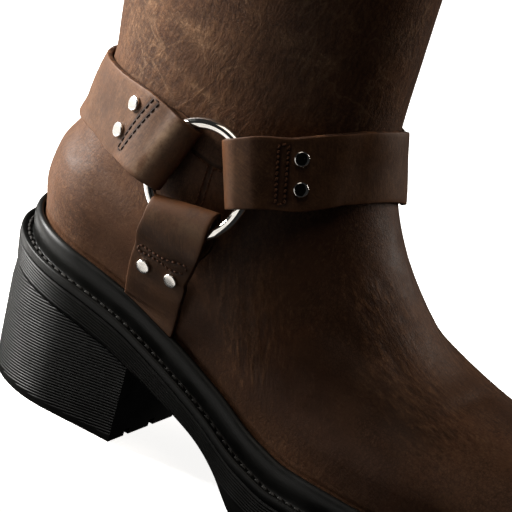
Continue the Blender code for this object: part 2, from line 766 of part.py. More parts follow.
LEATHER = make_material("waxed brown leather", (0.085, 0.045, 0.026), 0.5)
RUBBER = make_material("black rubber", (0.012, 0.012, 0.011), 0.6)
WELT_RUBBER = make_material("smooth black rubber", (0.014, 0.014, 0.013), 0.45)
FOOTBED = make_material("footbed leather", (0.30, 0.20, 0.12), 0.7)
STRAP_LEATHER = make_material("strap leather", (0.095, 0.050, 0.028), 0.5)
STEEL = make_material("polished steel", (0.75, 0.74, 0.72), 0.15, 1.0)

make_upper(LEATHER)
make_welt(WELT_RUBBER)
make_outsole(RUBBER)
make_heel(RUBBER)
make_insole(FOOTBED)
for kind in ("front", "back"):
    make_round_strap(kind, STRAP_LEATHER)
for side in (-1, 1):
    make_down_strap(side, STRAP_LEATHER)
    make_ring(side, STEEL)
    for kind in STRAPS:
        make_rivets(kind, side, STEEL)
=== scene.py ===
"""Looks of a right-foot biker boot: worn waxed leather, harness, ribbed rubber sole.

Metres. +X points to the toe, +Y to the inner side of the foot, +Z up.
The tables measure x from the back of the upper's foot, as the boot's source does.
"""

import math

import bmesh
import bpy
import numpy as np
from mathutils import Matrix, Vector
from mathutils.kdtree import KDTree


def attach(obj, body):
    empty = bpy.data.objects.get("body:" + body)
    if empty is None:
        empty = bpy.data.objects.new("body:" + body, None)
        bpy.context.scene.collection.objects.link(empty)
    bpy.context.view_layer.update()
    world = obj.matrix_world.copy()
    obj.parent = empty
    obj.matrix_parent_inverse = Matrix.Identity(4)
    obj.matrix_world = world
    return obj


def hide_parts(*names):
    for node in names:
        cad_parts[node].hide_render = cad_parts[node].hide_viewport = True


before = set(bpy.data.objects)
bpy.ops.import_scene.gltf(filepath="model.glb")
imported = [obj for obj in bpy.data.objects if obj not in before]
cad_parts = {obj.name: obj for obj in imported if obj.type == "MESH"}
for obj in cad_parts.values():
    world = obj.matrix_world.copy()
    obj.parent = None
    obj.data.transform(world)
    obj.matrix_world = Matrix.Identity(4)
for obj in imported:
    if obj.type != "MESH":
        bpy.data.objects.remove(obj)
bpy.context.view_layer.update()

# Placing and main sizes, as in the boot's source
ORIGIN = np.array([0.1230, 0.00022, 0.0])
FOOT_LENGTH = 0.250
HEEL_CAP = 0.034
TOE_CAP = 0.050
TOE_POWER = 2.4
WALL = 0.0022
CLEARANCE = 0.0003
SOLE_TOP_REACH = 0.0083
SOLE_FOOT_REACH = 0.0070
LUG_DEPTH = 0.0035
LUG_GROOVE = 0.004
LUG_PITCH = 0.014
LUG_FIRST_X = 0.130
LUG_COUNT = 7
BREAST_X = 0.062
HEEL_TOP_REACH = 0.0066
HEEL_FOOT_REACH = 0.0030
HEEL_PLAIN_FOOT = 0.0025
HEEL_RIB_RISE = 0.1425
HEEL_LUG_GROOVE = 0.003
HEEL_LUG_DEPTH = 0.0025
HEEL_LUG_BACK_X = 0.016
HEEL_LUG_PLACES = (-0.024, -0.008, 0.008, 0.024)
INSOLE_THICKNESS = 0.0032
PAST = 0.012

# Fine relief of the rubber
RIB_PITCH = 0.00105
RIB_DEPTH = 0.00035
RIB_COUNT = 8

# Harness, placed as in the boot's source, and the drape of its straps
AXIS_X = 0.060
RING_X = 0.0683
RING_Z = 0.1042
RING_RADIUS = 0.0182
WIRE_RADIUS = 0.0020
RING_LIFT = 0.0014
RING_SLACK = 0.0004
RING_HANG = (0.0004, 0.0, -0.0007)
RING_TILT = math.radians(10.0)
STRAP_THICKNESS = 0.0020
STRAP_CORNER = 0.0005
LOOP_PLAY = 0.0003
LAYER_GAP = 0.0001
LOOP_CLOSED = 0.0105
TAIL_STEP = 0.0010
SKIVED = 0.12
SKIVE_RUN = 0.0080
UNDER_INSET = 0.0014
BACK_SETTLED = 0.0390
BACK_RIDGE = 0.0013
BACK_RIDGE_RUN = 0.0042
TAIL_RUN = 0.0125
TINY = 0.00001
RING_FRAME_END = 0.0030
LEATHER_FRAME_START = 0.0150
UNDER = CLEARANCE + 0.5 * STRAP_THICKNESS
TURN = WIRE_RADIUS + LOOP_PLAY + 0.5 * STRAP_THICKNESS
LOOP_TOP = UNDER + 2 * TURN
DOUBLED = UNDER + STRAP_THICKNESS + LAYER_GAP
ROLL_POWER = 1.4
RIVET_SEAT = 0.0002
DOWN_LENGTH = 0.0385
DOWN_TRIM_START = 0.0080
DOWN_FACE_Y = 0.0365
DOWN_END_GAP = 0.0003
AIM_DISTANCE = 0.030

# Neighbours of a place, by angle and level, whose mean outward direction a strap stands in
STRAP_STANDING = ((0.0, 0.0), (0.07, 0.0), (-0.07, 0.0), (0.0, 0.3), (0.0, -0.3))

# Plan of the upper's foot: x from heel, outer half width, inner half width
FOOT_PLAN = (
    (0.000, 0.0330, 0.0320),
    (0.030, 0.0335, 0.0320),
    (0.062, 0.0325, 0.0305),
    (0.092, 0.0335, 0.0305),
    (0.120, 0.0375, 0.0335),
    (0.150, 0.0410, 0.0390),
    (0.175, 0.0420, 0.0425),
    (0.200, 0.0400, 0.0420),
    (0.225, 0.0350, 0.0385),
    (0.250, 0.0300, 0.0345),
)

# Side line of the upper's lower edge: x from heel, height
BASE_LINE = (
    (0.000, 0.0493),
    (0.025, 0.0472),
    (0.0515, 0.0422),
    (0.074, 0.0348),
    (0.098, 0.0253),
    (0.118, 0.0172),
    (0.133, 0.0142),
    (0.155, 0.0142),
    (0.185, 0.0156),
    (0.215, 0.0190),
    (0.250, 0.0260),
)

# Side line of the outsole's underside: x from heel, height
TREAD_LINE = (
    (-0.010, 0.0412),
    (0.000, 0.0405),
    (0.025, 0.0384),
    (0.0515, 0.0334),
    (0.065, 0.0291),
    (0.085, 0.0227),
    (0.095, 0.0188),
    (0.1015, 0.0154),
    (0.108, 0.0109),
    (0.1135, 0.0059),
    (0.118, 0.0022),
    (0.123, 0.0000),
    (0.175, 0.0000),
    (0.190, 0.0010),
    (0.210, 0.0040),
    (0.235, 0.0098),
    (0.260, 0.0172),
)

# Loops of the upper, foot to collar: level, front x, front z, back x, back z, middle x,
# outer half width, inner half width, roundness, share of foot plan, heel swell, toe swell, sag
UPPER_LOOPS = (
    (0, 0.2500, 0.0260, 0.0000, 0.0493, 0.110, 0.0420, 0.0410, 2.00, 1.00, 1.00, 1.00, 1.00),
    (1, 0.2520, 0.0380, -0.0025, 0.0613, 0.110, 0.0420, 0.0410, 2.00, 1.00, 1.06, 1.03, 1.00),
    (2, 0.2490, 0.0480, -0.0050, 0.0730, 0.110, 0.0420, 0.0410, 2.00, 1.00, 1.10, 1.02, 1.00),
    (3, 0.2360, 0.0560, -0.0040, 0.0840, 0.090, 0.0385, 0.0375, 2.00, 0.75, 1.13, 0.96, 0.93),
    (4, 0.2030, 0.0585, 0.0005, 0.0940, 0.074, 0.0375, 0.0365, 2.00, 0.30, 1.14, 0.94, 0.62),
    (5, 0.1650, 0.0648, 0.0040, 0.1035, 0.066, 0.0374, 0.0364, 2.00, 0.05, 1.14, 0.92, 0.20),
    (6, 0.1391, 0.0830, 0.0048, 0.1130, 0.062, 0.0363, 0.0353, 2.00, 0.00, 1.14, 0.90, 0.00),
    (7, 0.1218, 0.1060, 0.0054, 0.1225, 0.060, 0.0349, 0.0339, 2.05, 0.00, 1.14, 0.90, 0.00),
    (8, 0.1138, 0.1280, 0.0034, 0.1340, 0.059, 0.0337, 0.0327, 2.05, 0.00, 1.14, 0.90, 0.00),
    (9, 0.1124, 0.1510, 0.0008, 0.1510, 0.058, 0.0350, 0.0340, 2.05, 0.00, 1.14, 0.90, 0.00),
    (10, 0.1121, 0.1800, -0.0030, 0.1800, 0.056, 0.0392, 0.0382, 2.05, 0.00, 1.14, 0.90, 0.00),
    (11, 0.1134, 0.2350, -0.0083, 0.2350, 0.053, 0.0456, 0.0446, 2.05, 0.00, 1.14, 0.90, 0.00),
    (12, 0.1155, 0.2900, -0.0125, 0.2900, 0.050, 0.0505, 0.0495, 2.05, 0.00, 1.14, 0.90, 0.00),
)
SWELL_START_X = 0.050
SWELL_RUN = 0.110
TOP_LEVEL = 12

# Section of the welt: level on the upper, distance out from it, height above the flange's foot
WELT_SECTION = (
    (0.0, 0.0003, 0.0000),
    (0.5, 0.0003, 0.0060),
    (0.95, 0.0003, 0.0112),
    (1.0, 0.0005, 0.0118),
    (1.0, 0.0009, 0.0121),
    (1.0, 0.0014, 0.0120),
    (1.0, 0.0020, 0.0116),
    (0.9, 0.0027, 0.0108),
    (0.8, 0.0032, 0.0096),
    (0.6, 0.0036, 0.0078),
    (0.4, 0.0037, 0.0058),
    (0.3, 0.0036, 0.0042),
    (0.2, 0.0037, 0.0030),
    (0.1, 0.0041, 0.0024),
    (0.0, 0.0047, 0.0023),
    (0.0, 0.0056, 0.0023),
    (0.0, 0.0063, 0.0025),
    (0.0, 0.0067, 0.0030),
    (0.0, 0.0071, 0.0033),
    (0.0, 0.0076, 0.0034),
    (0.0, 0.0081, 0.0033),
    (0.0, 0.0084, 0.0030),
    (0.0, 0.0085, 0.0025),
    (0.0, 0.0085, 0.0006),
    (0.0, 0.0083, 0.0001),
    (0.0, 0.0078, 0.0000),
)

# Middle lines of the straps, from ring to far end: angle round the ankle, height, width
BACK_LINE = (
    (-78.6, 0.1038, 0.0240),
    (-91.0, 0.1064, 0.0250),
    (-104.0, 0.1086, 0.0262),
    (-125.0, 0.1098, 0.0264),
    (-144.0, 0.1092, 0.0254),
    (-180.0, 0.1072, 0.0250),
    (-216.0, 0.1092, 0.0254),
)
FRONT_LINE = (
    (-78.6, 0.1042, 0.0226),
    (-65.0, 0.1091, 0.0232),
    (-53.0, 0.1130, 0.0239),
    (-38.7, 0.1166, 0.0246),
    (-22.5, 0.1198, 0.0244),
    (0.0, 0.1212, 0.0244),
    (22.5, 0.1198, 0.0244),
)
DOWN_LINE = (
    (-78.6, 0.1042, 0.0258),
    (-81.5, 0.0900, 0.0252),
    (-83.4, 0.0760, 0.0247),
    (-84.4, 0.0620, 0.0234),
    (-85.2, 0.0460, 0.0222),
)

# Straps: middle line, angle where it ends, reach of the loop inward from the wire, length of its
# roll, tail length from the wire, rivets from the wire, rivet spacing, stitch rows from the wire
STRAPS = {
    "back": (BACK_LINE, -180.0, 0.0098, 0.0070, 0.0200, 0.0147, 0.0110, (0.0087, 0.0109)),
    "front": (FRONT_LINE, 0.0, 0.0086, 0.0055, 0.0230, 0.0158, 0.0100, (0.0100, 0.0121)),
    "down": (DOWN_LINE, -85.2, 0.0086, 0.0065, 0.0235, 0.0186, 0.0115, (0.0110, 0.0138)),
}

# How far each strap's sewn box and rivets lie above its middle line
SEWN_UP = {"back": 0.0013, "front": 0.0, "down": 0.0}

# Sewn box of a strap end: margin, depth and half widths of its grooves, dip of a stitch's ends
STITCH_MARGIN = 0.0022
STITCH_GROOVE = 0.00022
STITCH_SPREAD = 0.00055
STITCH_END_SPREAD = 0.0005
STITCH_DIP = 0.0005

# Half widths of a strap's cut edge (burnished tint and painted shade), painted highlight on the roll and worn
# fold
EDGE_SPREAD = 0.0006
ROLL_HIGHLIGHT_SPREAD = 0.0027
FOLD_SPREAD = 0.0035

# Spacing of a strap's stations, and the length from which it is the coarse one
STATION_FINE = 0.00045
STATION_COARSE = 0.0007
STATION_LONG = 0.06

SIDE_NAMES = {-1: "outer", 1: "inner"}

# Skew of a strap's cross lines: distance from the wire, share of the place across
SKEW = {
    "back": ((-0.010, -0.08), (0.010, -0.19), (0.016, -0.22), (0.036, 0.0)),
    "front": ((-0.010, 0.0), (0.010, 0.11), (0.016, 0.15), (0.040, 0.0)),
    "down": ((-0.010, -0.30), (0.012, -0.16), (0.019, -0.04), (0.034, 0.0)),
}

# Sideways bow of the down strap to the front: distance from the wire, shift
DOWN_BOW = ((-0.010, 0.0006), (-0.003, 0.0026), (0.004, 0.0037), (0.012, 0.0023), (0.020, 0.0009),
            (0.034, 0.0003))

# Slant of the front strap over the instep: angle round the ankle, rise
FRONT_SLANT = ((-48, 0.0), (-42, 0.0), (-31, 0.0012), (-20, 0.0028), (-10, 0.0034), (0, 0.0025),
               (5, 0.0014), (10, 0.0), (15, -0.0016), (21, -0.0029), (31, -0.0032), (45, -0.0016), (60, 0.0))


def smooth_through(rows, column, place):
    """Value of a table column at a place, by a monotone cubic through its rows."""
    t = np.array([row[0] for row in rows], float)
    y = np.array([row[column] for row in rows], float)
    if t[0] > t[-1]:
        t = t[::-1]
        y = y[::-1]
    run = np.diff(t)
    rise = np.diff(y) / run
    slope = np.empty(len(t))
    slope[0] = rise[0]
    slope[-1] = rise[-1]
    for i in range(1, len(t) - 1):
        before = rise[i - 1]
        after = rise[i]
        if before * after <= 0:
            slope[i] = 0
            continue
        w_before = 2 * run[i] + run[i - 1]
        w_after = run[i] + 2 * run[i - 1]
        slope[i] = (w_before + w_after) / (w_before / before + w_after / after)
    x = np.clip(np.asarray(place, float), t[0], t[-1])
    i = np.clip(np.searchsorted(t, x, "right") - 1, 0, len(t) - 2)
    s = (x - t[i]) / run[i]
    start = (1 + 2 * s) * (1 - s) ** 2 * y[i] + s * (1 - s) ** 2 * run[i] * slope[i]
    end = s * s * (3 - 2 * s) * y[i + 1] + s * s * (s - 1) * run[i] * slope[i + 1]
    return start + end


def ease(t):
    """Smooth step from 0 to 1."""
    t = np.clip(t, 0, 1)
    return t * t * (3 - 2 * t)


def unit(vectors):
    """Vectors scaled to length one."""
    return vectors / np.linalg.norm(vectors, axis=-1, keepdims=True)


def run_along(points):
    """Distance along a line of points, from its first one."""
    return np.concatenate([[0], np.cumsum(np.linalg.norm(np.diff(points, axis=0), axis=1))])


def foot_half(x, inner):
    """Half width of the upper's foot at x, on the inner or outer side."""
    width = np.where(inner, smooth_through(FOOT_PLAN, 2, x), smooth_through(FOOT_PLAN, 1, x))
    heel = np.clip(x / HEEL_CAP, 0, 1)
    toe = np.clip((FOOT_LENGTH - x) / TOE_CAP, 0, 1)
    heel_round = np.sqrt(1 - (1 - heel) ** 2)
    toe_round = (1 - (1 - toe) ** TOE_POWER) ** (1 / TOE_POWER)
    return width * heel_round * toe_round


def foot_plan(theta):
    """Plan points of the upper's foot at angles from the toe."""
    x = FOOT_LENGTH * (1 + np.cos(theta)) / 2
    inner = np.sin(theta) >= 0
    return np.stack([x, np.where(inner, 1, -1) * foot_half(x, inner)], -1)


def plan_normal(theta):
    """Outward plan direction of the foot's outline."""
    step = 0.001
    along = foot_plan(theta + step) - foot_plan(theta - step)
    return unit(np.stack([along[..., 1], -along[..., 0]], -1))


def level_normal(theta):
    """Outward direction of the foot's outline, with no rise."""
    return np.concatenate([plan_normal(theta), np.zeros((len(theta), 1))], -1)


def upper_surface(theta, level):
    """Outer face of the upper at an angle from the toe and a level of its loop table."""
    theta, level = np.broadcast_arrays(np.asarray(theta, float), np.asarray(level, float))
    columns = [smooth_through(UPPER_LOOPS, k, level) for k in range(1, 13)]
    front_x, front_z, back_x, back_z, middle_x, outer, inner, power = columns[:8]
    share, heel_swell, toe_swell, sag = columns[8:]
    c = np.cos(theta)
    s = np.sin(theta)
    round_x = np.sign(c) * np.abs(c) ** (2 / power)
    round_y = np.sign(s) * np.abs(s) ** (2 / power)
    leg_x = middle_x + np.where(c >= 0, front_x - middle_x, middle_x - back_x) * round_x
    leg_y = np.where(s >= 0, inner, outer) * round_y
    plan = foot_plan(theta)
    foot_x = back_x + (front_x - back_x) * plan[..., 0] / FOOT_LENGTH
    swell = heel_swell + (toe_swell - heel_swell) * ease((plan[..., 0] - SWELL_START_X) / SWELL_RUN)
    x = share * foot_x + (1 - share) * leg_x
    y = share * swell * plan[..., 1] + (1 - share) * leg_y
    along = (x - back_x) / (front_x - back_x)
    heel_z = BASE_LINE[0][1]
    toe_z = BASE_LINE[-1][1]
    dip = smooth_through(BASE_LINE, 1, along * FOOT_LENGTH) - (heel_z + (toe_z - heel_z) * along)
    z = back_z + (front_z - back_z) * along + dip * sag
    return np.stack([x, y, z], -1)


def upper_normal(theta, level):
    """Outward direction of the upper's face."""
    step = 0.002
    across = upper_surface(theta + step, level) - upper_surface(theta - step, level)
    low = np.clip(level - step, 0, TOP_LEVEL)
    high = np.clip(level + step, 0, TOP_LEVEL)
    up = upper_surface(theta, high) - upper_surface(theta, low)
    return unit(np.cross(across, up))


def around_angles(count):
    """Angles from the toe, a little closer together along the sides."""
    share = np.arange(count) / count
    return 2 * math.pi * share + 0.1 * np.sin(4 * math.pi * share)


def ankle_miss(theta, level, angle, height):
    """How far a place on the upper is from the wanted angle and height."""
    point = upper_surface(theta, level)
    turn = np.arctan2(point[..., 1], point[..., 0] - AXIS_X) - angle
    return np.stack([np.angle(np.exp(1j * turn)), point[..., 2] - height])


ANKLE_ARM = 0.045
ankle_theta, ankle_level = np.meshgrid(np.linspace(-math.pi, math.pi, 181), np.linspace(0.5, 9.5, 121))
ankle_theta = ankle_theta.ravel()
ankle_level = ankle_level.ravel()
ankle_tree = KDTree(len(ankle_theta))
for place, point in enumerate(upper_surface(ankle_theta, ankle_level)):
    turn = math.atan2(point[1], point[0] - AXIS_X)
    ankle_tree.insert((ANKLE_ARM * math.cos(turn), ANKLE_ARM * math.sin(turn), point[2]), place)
ankle_tree.balance()


def ankle_place(angle, height):
    """Angle and level on the upper of points at an angle round the ankle and a height."""
    angle = np.asarray(angle, float)
    height = np.broadcast_to(np.asarray(height, float), angle.shape)
    theta = np.empty(angle.shape)
    level = np.empty(angle.shape)
    for i in np.ndindex(angle.shape):
        target = (ANKLE_ARM * math.cos(angle[i]), ANKLE_ARM * math.sin(angle[i]), height[i])
        near = ankle_tree.find(target)[1]
        theta[i] = ankle_theta[near]
        level[i] = ankle_level[near]
    step = 0.0001
    for _ in range(6):
        here = ankle_miss(theta, level, angle, height)
        by_theta = (ankle_miss(theta + step, level, angle, height) - here) / step
        by_level = (ankle_miss(theta, level + step, angle, height) - here) / step
        det = by_theta[0] * by_level[1] - by_level[0] * by_theta[1]
        theta = theta - (here[0] * by_level[1] - by_level[0] * here[1]) / det
        level = level - (by_theta[0] * here[1] - here[0] * by_theta[1]) / det
    return theta, level


def leather(angle, height, lift=0.0):
    """Point above the upper at an angle round the ankle and a height."""
    theta, level = ankle_place(angle, height)
    lift = np.asarray(lift, float)
    if not lift.any():
        return upper_surface(theta, level)
    outward = sum(upper_normal(theta + turn, level + rise) for turn, rise in STRAP_STANDING)
    return upper_surface(theta, level) + lift[..., None] * unit(outward)


def strap_course(kind):
    """Middle line of a strap on the outer side.

    Gives its run, angle, height, slope parts, width and radius, and the hollow under it.
    """
    rows, last = STRAPS[kind][:2]
    if kind == "down":
        heights = np.linspace(rows[0][1], rows[-1][1], 81)
        angle = smooth_through([(z, a) for a, z, w in rows], 1, heights)
        width = smooth_through([(z, w) for a, z, w in rows], 1, heights)
    else:
        angle = np.linspace(rows[0][0], last, 121)
        heights = smooth_through(rows, 1, angle)
        width = smooth_through(rows, 2, angle)
    angle = np.radians(angle)
    points = leather(angle, heights)
    run = run_along(points)
    radius = np.hypot(points[:, 0] - AXIS_X, points[:, 1])
    arc_part = np.gradient(angle, run) * radius
    rise_part = np.gradient(heights, run)
    size = np.hypot(arc_part, rise_part)
    arc_part = arc_part / size
    rise_part = rise_part / size
    edges = []
    for aside in (0.5 * width, -0.5 * width):
        edges.append(leather(angle - aside * rise_part / radius, heights + aside * arc_part))
    outward = upper_normal(*ankle_place(angle, heights))
    hollow = ((0.5 * (edges[0] + edges[1]) - points) * outward).sum(-1)
    return run, angle, heights, arc_part, rise_part, width, radius, np.maximum(hollow, 0.0)


COURSES = {kind: strap_course(kind) for kind in STRAPS}


def ring_frame(side):
    """Leather point under the ring's middle and the ring's outward axis."""
    x = RING_X - AXIS_X
    guess = math.atan2(DOWN_FACE_Y, x)
    for _ in range(4):
        point = leather(side * guess, RING_Z)
        guess = math.atan2(abs(point[1]), x)
    normal = np.array([0.0, side * math.cos(RING_TILT), math.sin(RING_TILT)])
    return point, normal


RING_FRAMES = {side: ring_frame(side) for side in (-1, 1)}


def trim_to_welt(side, angle, height, s):
    """Heights of the down strap, stretched so that its end follows the top of the welt."""
    start = STRAPS["down"][4] + DOWN_TRIM_START
    theta = -side * np.linspace(-0.99 * math.pi, -0.01 * math.pi, 361)
    edge = upper_surface(theta, 1.0)
    edge_angle = np.arctan2(-side * edge[:, 1], edge[:, 0] - AXIS_X)
    foot = np.interp(angle, edge_angle, edge[:, 2]) + DOWN_END_GAP
    start_height = RING_Z - RING_RADIUS - start
    share = np.clip((s - start) / (DOWN_LENGTH - start), 0, 1)
    trimmed = start_height + (foot - start_height) * share
    return np.where(s > start, trimmed, height)


def strap_points(kind, side, s, w, h):
    """Points of a strap: distance from the wire, across, above the leather."""
    run, angle, height, arc_part, rise_part, width, radius, hollow = COURSES[kind]
    s, w, h = np.broadcast_arrays(s, w, h)
    s = s + w * smooth_through(SKEW[kind], 1, s)
    if kind == "down":
        w = w + smooth_through(DOWN_BOW, 1, s)
    along = RING_RADIUS + s
    flip = -1.0 if kind == "back" else 1.0
    across_arc = -flip * np.interp(along, run, rise_part)
    across_rise = flip * np.interp(along, run, arc_part)
    mid_angle = np.interp(along, run, angle)
    mid_height = np.interp(along, run, height)
    w_angle = mid_angle + w * across_arc / np.interp(along, run, radius)
    w_height = mid_height + w * across_rise
    if kind == "down":
        span = np.linalg.norm(leather(w_angle, w_height) - leather(mid_angle, mid_height), axis=-1)
        true = np.where(span > TINY, np.abs(w) / np.maximum(span, TINY), 1.0)
        w_angle = mid_angle + true * (w_angle - mid_angle)
        w_height = mid_height + true * (w_height - mid_height)
        w_height = trim_to_welt(side, w_angle, w_height, s)
    if kind == "front":
        w_height = w_height + smooth_through(FRONT_SLANT, 1, np.degrees(-side * mid_angle))
    aside = 2 * w / np.interp(along, run, width)
    bridge = np.interp(along, run, hollow) * np.maximum(0.0, 1 - aside ** 2)
    lying = leather(-side * w_angle, w_height, h + bridge)
    centre, normal = RING_FRAMES[side]
    aim = leather(-side * np.interp(AIM_DISTANCE, run, angle), np.interp(AIM_DISTANCE, run, height))
    ahead = aim - centre
    ahead = unit(ahead - normal * (ahead @ normal))
    over = flip * side * np.cross(ahead, normal)
    flat = centre + normal * (RING_LIFT + h[..., None])
    flat = flat + ahead * along[..., None] + over * w[..., None]
    blend = ease((s - RING_FRAME_END) / (LEATHER_FRAME_START - RING_FRAME_END))[..., None]
    return flat * (1 - blend) + lying * blend


def grid_object(name, points, material, wrap_across=True, wrap_along=False, values=None, caps=False):
    """Mesh of a grid of points, rows along and points across, with named values at its points."""
    rows, count = points.shape[:2]
    index = np.arange(rows * count).reshape(rows, count)
    along = np.vstack([index, index[:1]]) if wrap_along else index
    across = np.hstack([along, along[:, :1]]) if wrap_across else along
    quads = np.stack([across[:-1, :-1], across[:-1, 1:], across[1:, 1:], across[1:, :-1]], -1)
    faces = quads.reshape(-1, 4).tolist()
    if caps:
        faces.append(index[0][::-1].tolist())
        faces.append(index[-1].tolist())
    mesh = bpy.data.meshes.new(name)
    mesh.from_pydata((points.reshape(-1, 3) - ORIGIN).tolist(), [], faces)
    for label, data in (values or {}).items():
        layer = mesh.attributes.new(label, "FLOAT", "POINT")
        layer.data.foreach_set("value", np.ascontiguousarray(data, np.float32).ravel())
    return finish_object(name, mesh, material)


def finish_object(name, mesh, material, sharp=None):
    """Smooth, outward-facing object in the scene."""
    bm = bmesh.new()
    bm.from_mesh(mesh)
    bmesh.ops.remove_doubles(bm, verts=bm.verts, dist=0.000002)
    bmesh.ops.recalc_face_normals(bm, faces=bm.faces)
    bm.to_mesh(mesh)
    bm.free()
    mesh.shade_smooth()
    if sharp is not None:
        mesh.set_sharp_from_angle(angle=math.radians(sharp))
    thing = bpy.data.objects.new(name, mesh)
    bpy.context.scene.collection.objects.link(thing)
    mesh.materials.append(material)
    return thing


def settle(thing, slot, *nodes):
    """Ride on the boot and stand for the named solids."""
    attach(thing, "root")
    if nodes:
        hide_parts(*nodes)
    return thing


class Shader:
    """Principled material with short calls for its nodes."""

    def __init__(self, name):
        self.material = bpy.data.materials.new(name)
        self.material.use_nodes = True
        self.tree = self.material.node_tree
        self.surface = self.tree.nodes["Principled BSDF"]
        self.place = self.tree.nodes.new("ShaderNodeTexCoord").outputs["Object"]
        self.colour = None

    def set(self, name, value):
        """Put a number, colour or socket on an input of the surface."""
        self.plug(self.surface.inputs[name], value)

    def plug(self, entry, value):
        """Link a socket to an input, or write a constant on it."""
        if isinstance(value, bpy.types.NodeSocket):
            self.tree.links.new(value, entry)
        elif isinstance(value, (tuple, list)) and len(value) == 3 and entry.type == "RGBA":
            entry.default_value = (*value, 1.0)
        else:
            entry.default_value = value

    def node(self, kind, inputs, **settings):
        """Outputs of a new node with these settings and inputs."""
        node = self.tree.nodes.new("ShaderNode" + kind)
        for name, value in settings.items():
            setattr(node, name, value)
        for name, value in inputs.items():
            self.plug(node.inputs[name], value)
        return node.outputs

    def attribute(self, name):
        """Named value of the mesh."""
        return self.node("Attribute", {}, attribute_name=name)["Fac"]

    def stretch(self, scale, vector=None):
        """Coordinates scaled differently along each axis."""
        return self.node("Mapping", {"Scale": scale, "Vector": vector or self.place})["Vector"]

    def turn(self, angle, scale, vector=None):
        """Coordinates turned in the side view and then scaled along each axis."""
        inputs = {
            "Rotation": (0.0, math.radians(angle), 0.0),
            "Scale": tuple(1 / s for s in scale),
            "Vector": vector or self.place,
        }
        return self.node("Mapping", inputs, vector_type="TEXTURE")["Vector"]

    def warp(self, scale, amount):
        """Coordinates pushed about by a noise."""
        cloud = self.node("TexNoise", {"Scale": scale, "Detail": 3.0, "Vector": self.place})["Color"]
        centred = self.node("VectorMath", {0: cloud, 1: (0.5, 0.5, 0.5)}, operation="SUBTRACT")["Vector"]
        push = {0: centred, 1: (amount, amount, amount), 2: self.place}
        return self.node("VectorMath", push, operation="MULTIPLY_ADD")["Vector"]

    def noise(self, scale, detail=4.0, rough=0.55, vector=None):
        """Cloudy value from 0 to 1."""
        inputs = {"Scale": scale, "Detail": detail, "Roughness": rough, "Vector": vector or self.place}
        return self.node("TexNoise", inputs)["Fac"]

    def cells(self, scale, feature="F1", vector=None):
        """Distance value of a cell pattern."""
        inputs = {"Scale": scale, "Vector": vector or self.place}
        return self.node("TexVoronoi", inputs, feature=feature)["Distance"]

    def span(self, value, low, high, out_low=0.0, out_high=1.0):
        """Smooth step of a value between two limits."""
        inputs = {"Value": value, "From Min": low, "From Max": high, "To Min": out_low, "To Max": out_high}
        return self.node("MapRange", inputs, interpolation_type="SMOOTHSTEP")["Result"]

    def sum(self, operation, first, second):
        """Arithmetic on two values."""
        return self.node("Math", {0: first, 1: second}, operation=operation)["Value"]

    def times(self, first, second):
        """Product of two values."""
        return self.sum("MULTIPLY", first, second)

    def gather(self, operation, values):
        """Arithmetic through a list of values."""
        total = values[0]
        for value in values[1:]:
            total = self.sum(operation, total, value)
        return total

    def mix(self, factor, first, second):
        """Blend of two colours."""
        return self.node("Mix", {"Factor": factor, "A": first, "B": second}, data_type="RGBA")["Result"]

    def over(self, factor, paint):
        """Lay a paint over the colour so far."""
        self.colour = self.mix(factor, self.colour, paint)

    def bump(self, height, distance, strength=1.0):
        """Relief on the surface, added to what is already there."""
        inputs = {"Strength": strength, "Distance": distance, "Height": height}
        normal = self.surface.inputs["Normal"]
        if normal.links:
            inputs["Normal"] = normal.links[0].from_socket
        self.plug(normal, self.node("Bump", inputs)["Normal"])

    def finished(self, rough, specular):
        """Material with its colour, roughness and gloss set."""
        self.set("Base Color", self.colour)
        self.set("Roughness", rough)
        self.set("Specular IOR Level", specular)
        return self.material


# Runs of fibre in the leather: angle in the side view, scale of the patches that show it
FIBRE_RUNS = ((13.0, 17.0), (-77.0, 23.0), (72.0, 29.0))

# Runs of veins: angle in the side view, scale of the noise whose middle line they follow
VEIN_RUNS = ((24.0, 26.0), (-58.0, 31.0), (80.0, 36.0))

# Runs of fine folds: the zone they show in, angle in the side view, scale along them, waviness, strength
FOLD_RUNS = (
    ("upright", 72.0, 100.0, 0.002, 1.0),
    ("slanting", 28.0, 190.0, 0.002, 0.85),
    ("shaft", 104.0, 120.0, 0.016, 0.55),
)


def fibres(shader, along, across):
    """Fine lines in several directions, each in patches of its own.

    Gives their pale and dark parts, their relief, and all the lines without the patches.
    """
    pale = []
    dark = []
    relief = []
    drawn = []
    for angle, patch_scale in FIBRE_RUNS:
        line = shader.noise(1.0, 5.0, 0.72, shader.turn(angle, (along, across, across)))
        patch = shader.span(shader.noise(patch_scale, 3.0, 0.6), 0.42, 0.60)
        pale.append(shader.times(shader.span(line, 0.50, 0.70), patch))
        dark.append(shader.times(shader.span(line, 0.34, 0.48, 1.0, 0.0), patch))
        relief.append(shader.times(line, patch))
        drawn.append(shader.span(line, 0.46, 0.66))
    strongest = [shader.gather("MAXIMUM", parts) for parts in (pale, dark, drawn)]
    return strongest[0], strongest[1], shader.gather("ADD", relief), strongest[2]


def veins(shader):
    """Thin winding lines, each set in patches of its own."""
    lines = []
    for angle, scale in VEIN_RUNS:
        place = shader.turn(angle, (0.55, 2.4, 2.4))
        cloud = shader.noise(scale, 3.0, 0.50, place)
        near = shader.sum("ABSOLUTE", shader.sum("SUBTRACT", cloud, 0.5), 0.0)
        patch = shader.span(shader.noise(0.7 * scale, 2.0, 0.5, place), 0.46, 0.60)
        lines.append(shader.times(shader.span(near, 0.0, 0.015, 1.0, 0.0), patch))
    return shader.gather("MAXIMUM", lines)


